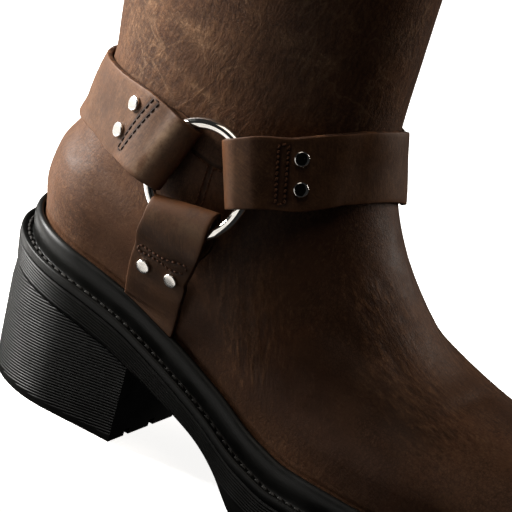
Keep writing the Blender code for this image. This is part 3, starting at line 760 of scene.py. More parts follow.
def waxed_leather():
    """Dark brown pull-up leather with rubbed tan streaks, veins, crackle and fine fibrous grain, with painted
    shade in its creases and seams and on the low vamp by the welt.
    """
    shader = Shader("waxed_leather")
    tone = shader.span(shader.noise(13.0, 6.0, 0.64), 0.34, 0.66)
    shader.colour = shader.mix(tone, (0.054, 0.0222, 0.0102), (0.112, 0.0505, 0.0240))
    ruddy = shader.span(shader.noise(31.0, 5.0, 0.66), 0.46, 0.72, 0.0, 0.6)
    shader.over(ruddy, (0.124, 0.047, 0.0190))
    pale, dark, relief, drawn = fibres(shader, 260.0, 950.0)
    shader.over(shader.times(pale, 0.50), (0.210, 0.112, 0.058))
    shader.over(shader.times(dark, 0.60), (0.026, 0.0105, 0.0054))
    folds = []
    for name, angle, ahead, waviness, share in FOLD_RUNS:
        place = shader.turn(angle, (ahead, 560.0, 560.0), shader.warp(45.0, waviness))
        line = shader.noise(1.0, 3.0, 0.6, place)
        zone = shader.times(shader.attribute(name), share)
        shader.over(shader.times(shader.span(line, 0.52, 0.66, 0.0, 0.60), zone), (0.215, 0.104, 0.049))
        shader.over(shader.times(shader.span(line, 0.36, 0.48, 0.55, 0.0), zone), (0.020, 0.0086, 0.0046))
        folds.append(shader.times(line, zone))
    bent = shader.stretch((1.0, 1.0, 0.6), shader.warp(320.0, 0.0026))
    crackle = shader.cells(900.0, "DISTANCE_TO_EDGE", bent)
    crazed = shader.span(shader.noise(45.0, 3.0, 0.6), 0.40, 0.58, 0.25, 1.0)
    shader.over(shader.times(shader.span(crackle, 0.0, 0.15, 0.50, 0.0), crazed), (0.022, 0.0092, 0.0048))
    torn = shader.span(shader.noise(500.0, 4.0, 0.7), 0.36, 0.56, 0.05, 0.50)
    vein = shader.times(shader.times(veins(shader), torn), shader.attribute("shaft"))
    shader.over(vein, (0.245, 0.142, 0.080))
    frayed = shader.span(shader.noise(420.0, 6.0, 0.78), 0.42, 0.60)
    frayed = shader.times(frayed, shader.span(drawn, 0.0, 1.0, 0.10, 1.0))
    worn = shader.times(shader.attribute("wear"), shader.sum("MAXIMUM", frayed, 0.22))
    shader.over(worn, (0.385, 0.218, 0.120))
    speck = shader.span(shader.noise(1300.0, 3.0, 0.75), 0.52, 0.70, 0.0, 0.50)
    shader.over(speck, (0.030, 0.0128, 0.0066))
    # Painted shade in the creases, the seam grooves and along the step of the front seam.
    shader.over(shader.span(shader.attribute("crease_shade"), 0.0, 1.0, 0.0, 0.8), (0.014, 0.0062, 0.0036))
    # Painted shade on the low vamp beside the welt.
    shader.over(shader.span(shader.attribute("dark"), 0.0, 1.0, 0.0, 0.62), (0.030, 0.0110, 0.0044))
    shader.bump(shader.noise(60.0, 3.0, 0.5), 0.0014, 0.25)
    shader.bump(shader.gather("ADD", folds), 0.0010, 0.40)
    shader.bump(shader.span(crackle, 0.0, 0.22), 0.00005, 0.40)
    shader.bump(relief, 0.00024, 0.45)
    shader.bump(shader.noise(800.0, 4.0, 0.7), 0.00016, 0.50)
    rough = shader.span(shader.noise(70.0, 5.0, 0.65), 0.3, 0.7, 0.50, 0.68)
    return shader.finished(rough, 0.14)


def strap_leather():
    """Smoother leather of the straps: painted highlight over the rolls, ruddy at the folds, and painted shade
    darkening the cut edges.
    """
    shader = Shader("strap_leather")
    tone = shader.span(shader.noise(34.0, 6.0, 0.66), 0.32, 0.68)
    shader.colour = shader.mix(tone, (0.048, 0.0208, 0.0102), (0.120, 0.0570, 0.0280))
    ruddy = shader.span(shader.noise(52.0, 5.0, 0.66), 0.46, 0.72, 0.0, 0.6)
    shader.over(ruddy, (0.128, 0.055, 0.0240))
    pale, dark, relief, _ = fibres(shader, 260.0, 1500.0)
    shader.over(shader.times(pale, 0.50), (0.200, 0.106, 0.052))
    shader.over(shader.times(dark, 0.60), (0.034, 0.0155, 0.0082))
    patchy = shader.span(shader.noise(130.0, 4.0, 0.65), 0.30, 0.62)
    shader.over(shader.times(shader.attribute("fold"), patchy), (0.150, 0.058, 0.022))
    patchy = shader.span(shader.noise(110.0, 5.0, 0.7), 0.32, 0.66)
    # Painted highlight along the crest of the roll.
    shader.over(shader.times(shader.attribute("roll"), patchy), (0.270, 0.172, 0.106))
    speck = shader.span(shader.noise(1500.0, 3.0, 0.75), 0.53, 0.72, 0.0, 0.45)
    shader.over(speck, (0.036, 0.0165, 0.0088))
    patchy = shader.span(shader.noise(240.0, 3.0), 0.2, 0.6, 0.45, 1.0)
    edge = shader.times(shader.attribute("edge"), patchy)
    shader.over(shader.times(edge, 0.75), (0.135, 0.056, 0.023))
    # Painted shade darkening the cut edges.
    shader.over(shader.span(edge, 0.62, 0.88, 0.0, 0.85), (0.026, 0.0112, 0.0064))
    shader.over(shader.attribute("stitched"), (0.014, 0.0060, 0.0040))
    shader.bump(shader.noise(90.0, 3.0, 0.5), 0.0008, 0.25)
    shader.bump(relief, 0.00014, 0.40)
    shader.bump(shader.noise(1500.0, 3.0, 0.7), 0.00007, 0.45)
    rough = shader.span(shader.noise(110.0, 5.0, 0.65), 0.3, 0.7, 0.46, 0.62)
    return shader.finished(rough, 0.17)


def lining_leather():
    """Plain smooth lining."""
    shader = Shader("lining_leather")
    cloud = shader.noise(40.0, 5.0, 0.6)
    colour = shader.mix(shader.span(cloud, 0.3, 0.7), (0.155, 0.098, 0.060), (0.215, 0.142, 0.090))
    pore = shader.span(shader.cells(1300.0), 0.05, 0.30, 0.45, 0.0)
    colour = shader.mix(pore, colour, (0.085, 0.050, 0.030))
    shader.set("Base Color", colour)
    shader.set("Roughness", shader.span(cloud, 0.3, 0.7, 0.62, 0.78))
    shader.bump(shader.cells(1300.0), 0.00008, 0.5)
    return shader.material


def rubber(name, tone, rough, dust):
    """Black rubber with a faint bloom and a fine moulded texture."""
    shader = Shader(name)
    cloud = shader.span(shader.noise(45.0, 5.0, 0.6), 0.35, 0.75)
    colour = shader.mix(cloud, tuple(0.75 * t for t in tone), tuple(1.25 * t for t in tone))
    bloom = shader.span(shader.noise(160.0, 4.0, 0.65), 0.52, 0.78, 0.0, dust)
    colour = shader.mix(bloom, colour, (0.030, 0.029, 0.026))
    shader.set("Base Color", colour)
    shader.set("Roughness", shader.span(shader.noise(90.0, 4.0, 0.6), 0.3, 0.7, rough - 0.06, rough + 0.08))
    shader.set("Specular IOR Level", 0.16)
    shader.bump(shader.noise(1400.0, 2.0, 0.5), 0.00004, 0.5)
    shader.bump(shader.noise(180.0, 4.0, 0.5), 0.00010, 0.4)
    return shader.material


def thread(name, dark, pale):
    """Twisted sewing thread."""
    shader = Shader(name)
    strand = shader.noise(1800.0, 2.0, 0.5)
    shader.set("Base Color", shader.mix(shader.span(strand, 0.3, 0.7), dark, pale))
    shader.set("Roughness", 0.7)
    shader.set("Specular IOR Level", 0.2)
    shader.bump(strand, 0.00008, 0.6)
    return shader.material


def steel(name, smooth, rough):
    """Polished plated steel with faint handling marks."""
    shader = Shader(name)
    mark = shader.noise(420.0, 4.0, 0.7, shader.stretch((1.0, 1.0, 3.0)))
    worn = shader.span(mark, 0.4, 0.7)
    shader.set("Base Color", shader.mix(worn, (0.82, 0.80, 0.77), (0.72, 0.70, 0.67)))
    shader.set("Metallic", 1.0)
    shader.set("Roughness", shader.span(mark, 0.35, 0.75, smooth, rough))
    return shader.material


def floor_paint():
    """Plain pale studio floor."""
    shader = Shader("pale_floor")
    cloud = shader.noise(3.0, 2.0, 0.5)
    shader.set("Base Color", shader.mix(cloud, (0.86, 0.86, 0.86), (0.88, 0.88, 0.88)))
    shader.set("Roughness", 0.9)
    shader.set("Specular IOR Level", 0.1)
    shader.set("Emission Color", (1.0, 0.99, 0.975))
    shader.set("Emission Strength", 0.92)
    return shader.material


def card_paint(name, glow):
    """Studio card, white where it glows."""
    shader = Shader(name)
    tone = 0.002 + 0.8 * glow
    shader.set("Base Color", shader.mix(shader.noise(3.0), 3 * (tone,), 3 * (0.9 * tone,)))
    shader.set("Specular IOR Level", 0.0)
    shader.set("Emission Color", (1.0, 0.97, 0.92))
    shader.set("Emission Strength", glow)
    return shader.material


LEATHER = waxed_leather()
STRAP_LEATHER = strap_leather()
LINING = lining_leather()
WELT_RUBBER = rubber("welt_rubber", (0.0042, 0.0043, 0.0038), 0.40, 0.10)
SOLE_RUBBER = rubber("sole_rubber", (0.0036, 0.0036, 0.0032), 0.47, 0.12)
BROWN_THREAD = thread("brown_thread", (0.058, 0.023, 0.011), (0.150, 0.062, 0.028))
DARK_THREAD = thread("dark_thread", (0.008, 0.0038, 0.0024), (0.020, 0.0090, 0.0052))
BLACK_THREAD = thread("black_thread", (0.008, 0.007, 0.006), (0.026, 0.024, 0.021))
STEEL = steel("polished_steel", 0.05, 0.14)
RIVET_STEEL = steel("rivet_steel", 0.20, 0.28)

# Stitches of the straps: pitch, length, half thickness, slant, thread
STITCHES = {
    "back": (0.0024, 0.0023, 0.00020, 0.0, DARK_THREAD),
    "front": (0.0018, 0.0017, 0.00042, 0.40, BROWN_THREAD),
    "down": (0.0021, 0.0016, 0.00038, 0.15, BROWN_THREAD),
}

STITCH_LIFT = 0.00012

# Strength of the painted highlight on each strap's roll
ROLL_HIGHLIGHT = {"back": 1.0, "front": 0.10, "down": 0.35}

# Creases of the upper: depth, half width, then points x, y, z in millimetres
# Creases cut in, with depth above zero, also get painted shade along them.
CREASES = (
    (0.14, 1.5, ((92.2, -36.0, 78.9), (95.8, -36.2, 74.0), (101.3, -37.5, 62.7), (108.0, -38.2, 50.8))),
    (0.12, 1.4, ((98.5, -35.5, 76.3), (105.1, -36.8, 64.9), (112.4, -38.3, 52.4))),
    (0.10, 1.3, ((88.0, -36.6, 72.0), (93.5, -37.3, 62.0), (99.5, -38.0, 52.0))),
    (-0.45, 5.0, ((117.0, -27.4, 83.6), (123.9, -25.7, 79.5), (130.4, -23.6, 76.5), (139.6, -22.5, 70.7))),
    (0.25, 4.0, ((124.4, -14.8, 92.4), (130.1, -11.1, 87.7), (135.7, -6.8, 83.3))),
    (0.28, 4.5, ((140.1, -17.0, 74.4), (150.7, -18.5, 67.1), (158.5, -23.7, 62.1))),
    (0.20, 3.5, ((132.0, -17.5, 80.5), (141.0, -8.0, 79.5), (146.0, 3.0, 77.0))),
    (0.60, 3.5, ((168.0, -27.0, 55.5), (171.0, -14.0, 60.5), (172.0, 0.0, 62.0), (170.0, 15.0, 60.0))),
    (0.45, 3.0, ((181.0, -24.0, 53.5), (184.0, -10.0, 58.0), (184.0, 5.0, 58.6), (181.0, 18.0, 56.5))),
    (0.50, 3.0, ((124.0, 13.0, 92.0), (131.0, 9.0, 87.0), (137.0, 5.0, 82.0))),
    (0.45, 3.0, ((141.0, 17.0, 74.0), (150.0, 19.0, 67.0), (158.0, 24.0, 61.0))),
    (0.30, 1.6, ((94.0, 35.0, 76.0), (100.0, 35.5, 65.0), (107.0, 36.0, 53.0))),
    (0.30, 1.5, ((100.5, 34.5, 75.0), (107.0, 35.5, 63.0), (113.0, 36.5, 52.0))),
)

# Rubbed streaks of the upper: strength, half width, then points x, y, z in millimetres
STREAKS = (
    (0.70, 2.4, ((30.3, -30.2, 148.7), (41.8, -33.3, 148.4), (51.6, -34.4, 146.4), (56.7, -34.5, 145.3),
                 (60.3, -34.3, 142.9))),
    (1.00, 2.8, ((46.1, -33.9, 147.8), (49.3, -34.3, 147.3), (52.5, -34.4, 146.4), (56.1, -34.5, 145.9))),
    (0.55, 1.8, ((27.1, -27.6, 135.8), (33.4, -30.0, 136.0), (43.2, -32.4, 133.9), (48.6, -33.1, 131.0),
                 (57.9, -33.7, 129.2), (66.3, -33.5, 129.1))),
    (0.95, 2.0, ((49.7, -33.2, 130.5), (54.6, -33.6, 130.0), (58.8, -33.7, 129.3), (62.8, -33.7, 129.3))),
    (0.45, 7.0, ((17.7, -21.7, 131.9), (22.2, -25.6, 140.8), (26.9, -28.9, 148.2), (31.0, -32.0, 158.0))),
    (0.40, 4.0, ((26.6, -28.0, 142.3), (35.4, -31.5, 145.5))),
    (0.85, 3.0, ((77.8, -33.3, 156.8), (80.6, -32.9, 159.4), (83.4, -32.0, 159.4))),
    (0.80, 1.1, ((76.0, -33.5, 154.3), (79.5, -32.6, 154.0), (88.2, -29.8, 155.3), (94.9, -26.4, 154.7),
                 (99.9, -23.0, 155.6))),
    (0.80, 1.2, ((85.8, -31.6, 162.8), (88.5, -30.2, 160.4), (91.6, -28.5, 158.2), (95.3, -26.1, 154.0))),
    (0.75, 1.0, ((90.8, -28.4, 153.1), (92.0, -27.5, 148.5), (91.0, -27.7, 140.8), (89.5, -28.2, 133.0))),
    (1.00, 1.5, ((92.4, -27.1, 143.5), (91.9, -27.3, 141.1), (91.4, -27.5, 138.4))),
    (0.60, 0.9, ((92.6, -27.5, 153.1), (93.5, -26.8, 148.5), (93.1, -26.7, 142.4), (92.1, -27.1, 131.9))),
    (0.60, 0.9, ((95.9, -27.8, 175.5), (97.8, -26.1, 172.1), (100.8, -23.4, 168.6))),
    (0.60, 0.9, ((107.1, -15.5, 150.9), (110.6, -9.4, 146.6))),
    (0.45, 0.9, ((99.5, -22.8, 143.2), (101.5, -21.3, 136.2))),
    (0.55, 0.9, ((70.8, -35.6, 163.0), (72.0, -36.1, 167.8))),
    (0.60, 0.9, ((74.3, -35.3, 165.5), (77.1, -35.4, 170.9))),
    (0.50, 0.9, ((67.3, -35.4, 159.0), (68.1, -36.3, 165.2))),
    (0.50, 0.9, ((63.3, -34.1, 141.6), (60.6, -33.8, 135.8))),
    (0.45, 0.9, ((97.2, -36.5, 72.1), (102.4, -37.7, 60.8), (109.3, -38.4, 48.1))),
    (0.40, 0.9, ((96.1, -37.0, 69.2), (100.6, -37.9, 60.0), (103.1, -38.1, 55.4))),
    (0.40, 0.9, ((103.3, -37.0, 65.0), (108.8, -38.2, 52.5))),
    (0.35, 0.9, ((91.7, -37.6, 66.0), (97.5, -37.7, 56.5))),
    (0.30, 1.0, ((142.1, -23.7, 68.6), (153.9, -25.9, 62.9), (176.8, -29.6, 55.0))),
    (0.30, 1.0, ((144.3, -19.9, 69.9), (156.0, -23.6, 63.5), (163.2, -22.8, 61.8))),
    (0.30, 1.0, ((141.0, -30.4, 63.9), (163.7, -29.3, 57.8))),
    (0.70, 2.2, ((38.0, 32.0, 147.0), (50.0, 33.4, 145.0), (60.0, 33.3, 142.0))),
    (0.60, 1.4, ((80.0, 31.5, 155.0), (90.0, 28.0, 156.0), (98.0, 23.5, 154.0))),
    (0.60, 1.4, ((20.0, 20.0, 170.0), (12.0, 12.0, 176.0), (6.0, 4.0, 180.0))),
    (0.55, 1.6, ((40.0, -40.0, 215.0), (55.0, -43.0, 208.0), (70.0, -42.0, 212.0))),
    (0.50, 1.4, ((85.0, -36.0, 235.0), (96.0, -30.0, 228.0), (106.0, -20.0, 230.0))),
    (0.55, 1.6, ((30.0, 36.0, 225.0), (45.0, 41.0, 218.0), (62.0, 42.5, 221.0))),
)

# Zones of fine wrinkles, and dark zones of painted shade on the low vamp beside the welt: name, half width,
# then points x, y, z in millimetres
WRINKLE_ZONES = (
    ("upright", 13.0, ((90.8, -36.3, 78.6), (98.4, -37.4, 64.9), (107.4, -38.2, 48.7))),
    ("upright", 13.0, ((90.8, 35.3, 78.6), (98.4, 36.0, 64.9), (107.4, 36.5, 48.7))),
    ("slanting", 13.0, ((130.7, -16.0, 83.3), (142.7, -17.3, 72.4), (156.9, -22.8, 63.6),
                        (173.1, -26.4, 57.5))),
    # The dark zones paint shade on the low vamp beside the welt.
    ("dark", 12.0, ((122.0, -38.0, 50.0), (140.0, -41.0, 41.0), (158.0, -42.5, 36.5),
                    (180.0, -43.0, 33.5))),
    ("dark", 12.0, ((122.0, 37.0, 50.0), (140.0, 40.0, 41.0), (158.0, 41.5, 36.5), (180.0, 42.0, 33.5))),
    ("slanting", 13.0, ((130.7, 15.0, 83.0), (142.7, 17.0, 72.4), (156.9, 22.0, 63.6),
                        (173.1, 25.5, 57.5))),
)


def distance_to_line(points, line):
    """Distance of points from a broken line, and their share along it."""
    line = np.array(line) / 1000
    lengths = np.linalg.norm(np.diff(line, axis=0), axis=1)
    before = np.concatenate([[0], np.cumsum(lengths)])
    best = np.full(points.shape[:-1], 1.0)
    share = np.zeros(points.shape[:-1])
    for i in range(len(line) - 1):
        span = line[i + 1] - line[i]
        t = np.clip(((points - line[i]) @ span) / (span @ span), 0, 1)
        far = np.linalg.norm(points - line[i] - t[..., None] * span, axis=-1)
        nearer = far < best
        best = np.where(nearer, far, best)
        share = np.where(nearer, (before[i] + t * lengths[i]) / before[-1], share)
    return best, share


def waves(points, pitch, seed, count=14):
    """Soft seeded undulation between about -1 and 1, with waves near a pitch."""
    dice = np.random.default_rng(seed)
    total = np.zeros(points.shape[:-1])
    for _ in range(count):
        ahead = unit(dice.normal(size=3))
        length = pitch * dice.uniform(0.6, 1.7)
        total += np.sin(points @ ahead * 2 * math.pi / length + dice.uniform(0, 2 * math.pi))
    return total / math.sqrt(count) / 1.4


def upper_relief(points):
    """Inward and outward push of the upper's face, its wear and wrinkle values, and values of painted shade
    in the creases and on the low vamp by the welt.
    """
    push = 0.00035 * (waves(points, 0.055, 3) - 1.0)
    wear = np.zeros(points.shape[:-1])
    crease_shade = np.zeros(points.shape[:-1])
    for depth, width, line in CREASES:
        far, share = distance_to_line(points, line)
        t = far / (width / 1000)
        fade = np.sqrt(np.clip(4 * share * (1 - share), 0, 1))
        push += -depth / 1000 * (1 - 0.9 * t * t) * np.exp(-t * t) * fade
        # Painted shade along the creases cut in.
        if depth > 0:
            crease_shade = np.maximum(crease_shade, 0.35 * np.exp(-4 * t * t) * fade)
    wobble = 1.2 + 0.5 * waves(points, 0.011, 9)
    swayed = points + 0.0012 * waves(points, 0.009, 5)[..., None]
    for strength, width, line in STREAKS:
        far, share = distance_to_line(swayed, line)
        t = far / (0.75 * width / 1000 * wobble)
        fade = np.clip(6 * share * (1 - share), 0, 1)
        wear = np.maximum(wear, strength * np.exp(-t * t) * (0.35 + 0.65 * fade))
    values = {"wear": wear, "crease_shade": crease_shade}
    for name in ("upright", "slanting", "dark"):
        values[name] = np.zeros(wear.shape)
    values["shaft"] = 0.12 + 0.88 * ease((points[..., 2] - 0.112) / 0.015)
    for name, width, line in WRINKLE_ZONES:
        far, share = distance_to_line(points, line)
        values[name] = np.maximum(values[name], np.exp(-(far / (width / 1000)) ** 2))
    return push, values


SEAM_MEET = np.array([0.0684, 0.1086])
SEAM_ENDS = ((0.0692, 0.0900), (0.0560, 0.1112), (0.0880, 0.1100))
SEAM_ROWS = ((-0.0011, 0.0011), (0.0010,), (-0.0010,))
SEAM_PITCH = 0.0020
SEAM_START = 0.0014
SEAM_DEPTH = 0.0006
SEAM_WIDTH = 0.0007
SEAM_REACH = 0.017
SEAM_SIDE_Y = 0.025


def ring_seams(points):
    """Grooves of the three seams that meet inside each ring: push, and values of painted shade in the
    grooves.
    """
    flat = points[..., [0, 2]]
    near = np.exp(-((np.linalg.norm(flat - SEAM_MEET, axis=-1) / SEAM_REACH) ** 6))
    near = near * (np.abs(points[..., 1]) > SEAM_SIDE_Y)
    push = np.zeros(points.shape[:-1])
    for end in SEAM_ENDS:
        span = np.array(end) - SEAM_MEET
        t = np.clip(((flat - SEAM_MEET) @ span) / (span @ span), 0, 1)
        far = np.linalg.norm(flat - SEAM_MEET - t[..., None] * span, axis=-1)
        push = np.minimum(push, -SEAM_DEPTH * np.exp(-((far / SEAM_WIDTH) ** 2)))
    return push * near, -push * near / SEAM_DEPTH


def side_place(x, z, side):
    """Points of the upper's side face at x and z, and their outward directions."""
    angle = np.full(np.shape(x), -0.5 * math.pi)
    for _ in range(5):
        point = leather(angle, z)
        angle = np.arctan2(-np.abs(point[..., 1]), np.asarray(x) - AXIS_X)
    theta, level = ankle_place(-side * angle, z)
    return upper_surface(theta, level), upper_normal(theta, level)


def make_seam_stitches(side):
    """Stitches beside the seams that meet inside a ring."""
    spots = []
    for end, offsets in zip(SEAM_ENDS, SEAM_ROWS):
        span = np.array(end) - SEAM_MEET
        size = np.linalg.norm(span)
        across = np.array([-span[1], span[0]]) / size
        for offset in offsets:
            for run in np.arange(SEAM_START, size, SEAM_PITCH):
                spots.append((SEAM_MEET + span * run / size + across * offset, span / size))
    flat = np.array([spot[0] for spot in spots])
    later = flat + 0.0003 * np.array([spot[1] for spot in spots])
    places, out = side_place(flat[:, 0], flat[:, 1], side)
    ahead = side_place(later[:, 0], later[:, 1], side)[0] - places
    name = "stitches_seam_" + SIDE_NAMES[side]
    return make_stitches(name, places - 0.0002 * out, ahead, out, 0.0015, 0.00030, 0.0003,
                         BROWN_THREAD, "upper_leather")


# Tuck of the upper into the welt: depth, reach in levels
WELT_TUCK = 0.0007
WELT_TUCK_REACH = 0.12

# Overlapped seam up the front of the shaft: place, first level, step and its reach
FRONT_SEAM_ANGLE = math.radians(9)
FRONT_SEAM_LEVEL = 7.6
FRONT_SEAM_STEP = 0.0008
FRONT_SEAM_REACH = 0.10


def make_upper():
    """Leather upper with its lining, rolled collar, seams and creases."""
    theta = around_angles(320)
    low = np.concatenate([[0.0, 0.5, 0.9], np.linspace(1.0, 9.0, 168), np.linspace(9.0, 11.985, 84)[1:]])
    levels = low[:, None]
    outer = upper_surface(theta[None], levels)
    normal = upper_normal(theta[None], np.broadcast_to(levels, outer.shape[:2]))
    push, values = upper_relief(outer)
    # The second value is painted shade in the seam grooves.
    seam_push, seam_shade = ring_seams(outer)
    above_bead = np.clip((levels - 1.0) / 0.25, 0, 1)
    push = push * ease(above_bead) + seam_push
    push = push - WELT_TUCK * np.exp(-((levels - 1.0) / WELT_TUCK_REACH) ** 2)
    turn = np.angle(np.exp(1j * (theta[None] - FRONT_SEAM_ANGLE)))
    on_shaft = ease((levels - FRONT_SEAM_LEVEL) / 0.5)
    push = push - FRONT_SEAM_STEP * on_shaft * np.where(turn > 0, np.exp(-turn / FRONT_SEAM_REACH), 0)
    # Painted shade along the step of the overlapped front seam.
    front_seam_shade = on_shaft * np.exp(-((turn - 0.012) / 0.018) ** 2) * 0.9
    values["crease_shade"] = np.maximum(np.maximum(values["crease_shade"], seam_shade), front_seam_shade)
    face = outer + push[..., None] * normal
    rim_rows = []
    inside = []
    top_point = upper_surface(theta, TOP_LEVEL)
    top_normal = upper_normal(theta, np.full(theta.shape, float(TOP_LEVEL)))
    rim = 0.5 * WALL
    for a in np.linspace(0, math.pi, 9):
        out = -rim + rim * math.cos(a)
        rise = rim * math.sin(a) - rim
        row = top_point + out * top_normal
        row[:, 2] += rise
        rim_rows.append(row)
    for level in np.linspace(11.9, 0.0, 44):
        flat_level = np.full(theta.shape, level)
        inside.append(upper_surface(theta, flat_level) - WALL * upper_normal(theta, flat_level))
    inside[-1][:, 2] = face[0][:, 2]
    points = np.concatenate([face, np.stack(rim_rows), np.stack(inside)])
    extra = len(rim_rows) + len(inside)
    pad = np.zeros((extra, len(theta)))
    values = {name: np.concatenate([data, pad]) for name, data in values.items()}
    thing = grid_object("upper_leather", points, LEATHER, wrap_along=True, values=values)
    thing.data.materials.append(LINING)
    inner_start = (len(face) + len(rim_rows) - 2) * len(theta)
    for polygon in thing.data.polygons:
        if min(polygon.vertices) >= inner_start:
            polygon.material_index = 1
    return settle(thing, "upper_leather", "upper")


def base_height(theta):
    """Height of the upper's lower edge at angles from the toe."""
    return smooth_through(BASE_LINE, 1, foot_plan(theta)[..., 0])


def make_welt():
    """Smooth bead against the upper, a stitched channel and a rounded lip."""
    theta = around_angles(420)
    out = level_normal(theta)
    loops = []
    for level, reach, height in WELT_SECTION:
        loop = upper_surface(theta, level) + reach * out
        loop[:, 2] = base_height(theta) + height
        loops.append(loop)
    thing = grid_object("welt_bead", np.stack(loops), WELT_RUBBER, wrap_along=True)
    return settle(thing, "welt_rubber", "welt")


def stitch_shape(length, radius, dip):
    """Template of one stitch lying along X: rings of points."""
    rows = []
    for t in np.linspace(-1, 1, 9):
        size = radius * math.sqrt(max(0.0, 1 - abs(t) ** 5)) + 0.00002
        sink = -dip * t ** 4
        ring = [(0.5 * length * t, size * math.cos(a), sink + size * math.sin(a))
                for a in np.arange(8) * math.pi / 4]
        rows.append(ring)
    return np.array(rows)


def make_stitches(name, places, ahead, up, length, radius, dip, material, slot):
    """One mesh of stitches at places, each along its direction."""
    shape = stitch_shape(length, radius, dip)
    rows, count = shape.shape[:2]
    points = []
    faces = []
    for place, x_axis, z_axis in zip(places, unit(ahead), unit(up)):
        y_axis = unit(np.cross(z_axis, x_axis))
        z_axis = np.cross(x_axis, y_axis)
        start = len(points)
        frame_axes = np.stack([x_axis, y_axis, z_axis])
        points.extend((place + shape.reshape(-1, 3) @ frame_axes - ORIGIN).tolist())
        for i in range(rows - 1):
            for j in range(count):
                k = (j + 1) % count
                faces.append([start + i * count + j, start + i * count + k,
                              start + (i + 1) * count + k, start + (i + 1) * count + j])
        faces.append([start + j for j in range(count)][::-1])
        faces.append([start + (rows - 1) * count + j for j in range(count)])
    mesh = bpy.data.meshes.new(name)
    mesh.from_pydata(points, [], faces)
    return settle(finish_object(name, mesh, material), slot)


# Channel of the welt: place out from the upper's foot, height, pitch of its stitches
CHANNEL_OUT = 0.0056
CHANNEL_UP = 0.0027
WELT_STITCH_PITCH = 0.0036

# Angle above which an edge of a cut mesh is shaded sharp
CUT_SHARP = math.radians(40)


def make_welt_stitches():
    """Heavy dark thread in the channel of the welt."""
    fine = np.linspace(0, 2 * math.pi, 2001)
    out = level_normal(fine)
    line = upper_surface(fine, 0.0) + CHANNEL_OUT * out
    line[:, 2] = base_height(fine) + CHANNEL_UP
    run = run_along(line)
    count = round(run[-1] / WELT_STITCH_PITCH)
    marks = np.arange(count) * run[-1] / count
    places = np.stack([np.interp(marks, run, line[:, k]) for k in range(3)], -1)
    later = np.stack([np.interp(marks + 0.0005, run, line[:, k]) for k in range(3)], -1)
    up = np.tile(np.array([0.0, 0.0, 1.0]), (count, 1))
    return make_stitches("welt_stitches", places, later - places, up, 0.0032, 0.00060, 0.0006,
                         BLACK_THREAD, "welt_rubber")


def cut(thing, boxes):
    """Take boxes out of a mesh: low x, high x, low y, high y, low z, high z."""
    bm = bmesh.new()
    for x0, x1, y0, y1, z0, z1 in boxes:
        middle = Vector(((x0 + x1) / 2, (y0 + y1) / 2, (z0 + z1) / 2)) - Vector(ORIGIN)
        size = Matrix.Diagonal((x1 - x0, y1 - y0, z1 - z0, 1))
        bmesh.ops.create_cube(bm, size=1.0, matrix=Matrix.Translation(middle) @ size)
    mesh = bpy.data.meshes.new("cutter")
    bm.to_mesh(mesh)
    bm.free()
    cutter = bpy.data.objects.new("cutter", mesh)
    bpy.context.scene.collection.objects.link(cutter)
    modifier = thing.modifiers.new("cut", "BOOLEAN")
    modifier.operation = "DIFFERENCE"
    modifier.solver = "EXACT"
    modifier.object = cutter
    bpy.context.view_layer.update()
    result = bpy.data.meshes.new_from_object(thing.evaluated_get(bpy.context.evaluated_depsgraph_get()))
    result.shade_smooth()
    result.set_sharp_from_angle(angle=CUT_SHARP)
    thing.modifiers.clear()
    thing.data = result
    bpy.data.objects.remove(cutter)


def capped_loops(name, points):
    """Mesh of a stack of loops, the first and the last filled across between paired points."""
    rows, count = points.shape[:2]
    half = count // 2
    index = np.arange(rows * count).reshape(rows, count)
    around = np.hstack([index, index[:, :1]])
    quads = np.stack([around[:-1, :-1], around[:-1, 1:], around[1:, 1:], around[1:, :-1]], -1)
    faces = quads.reshape(-1, 4).tolist()
    for loop in index[[0, -1]].tolist():
        faces.append([loop[0], loop[1], loop[count - 1]])
        for i in range(1, half - 1):
            faces.append([loop[i], loop[i + 1], loop[count - i - 1], loop[count - i]])
        faces.append([loop[half - 1], loop[half], loop[half + 1]])
    mesh = bpy.data.meshes.new(name)
    mesh.from_pydata((points.reshape(-1, 3) - ORIGIN).tolist(), [], faces)
    return mesh


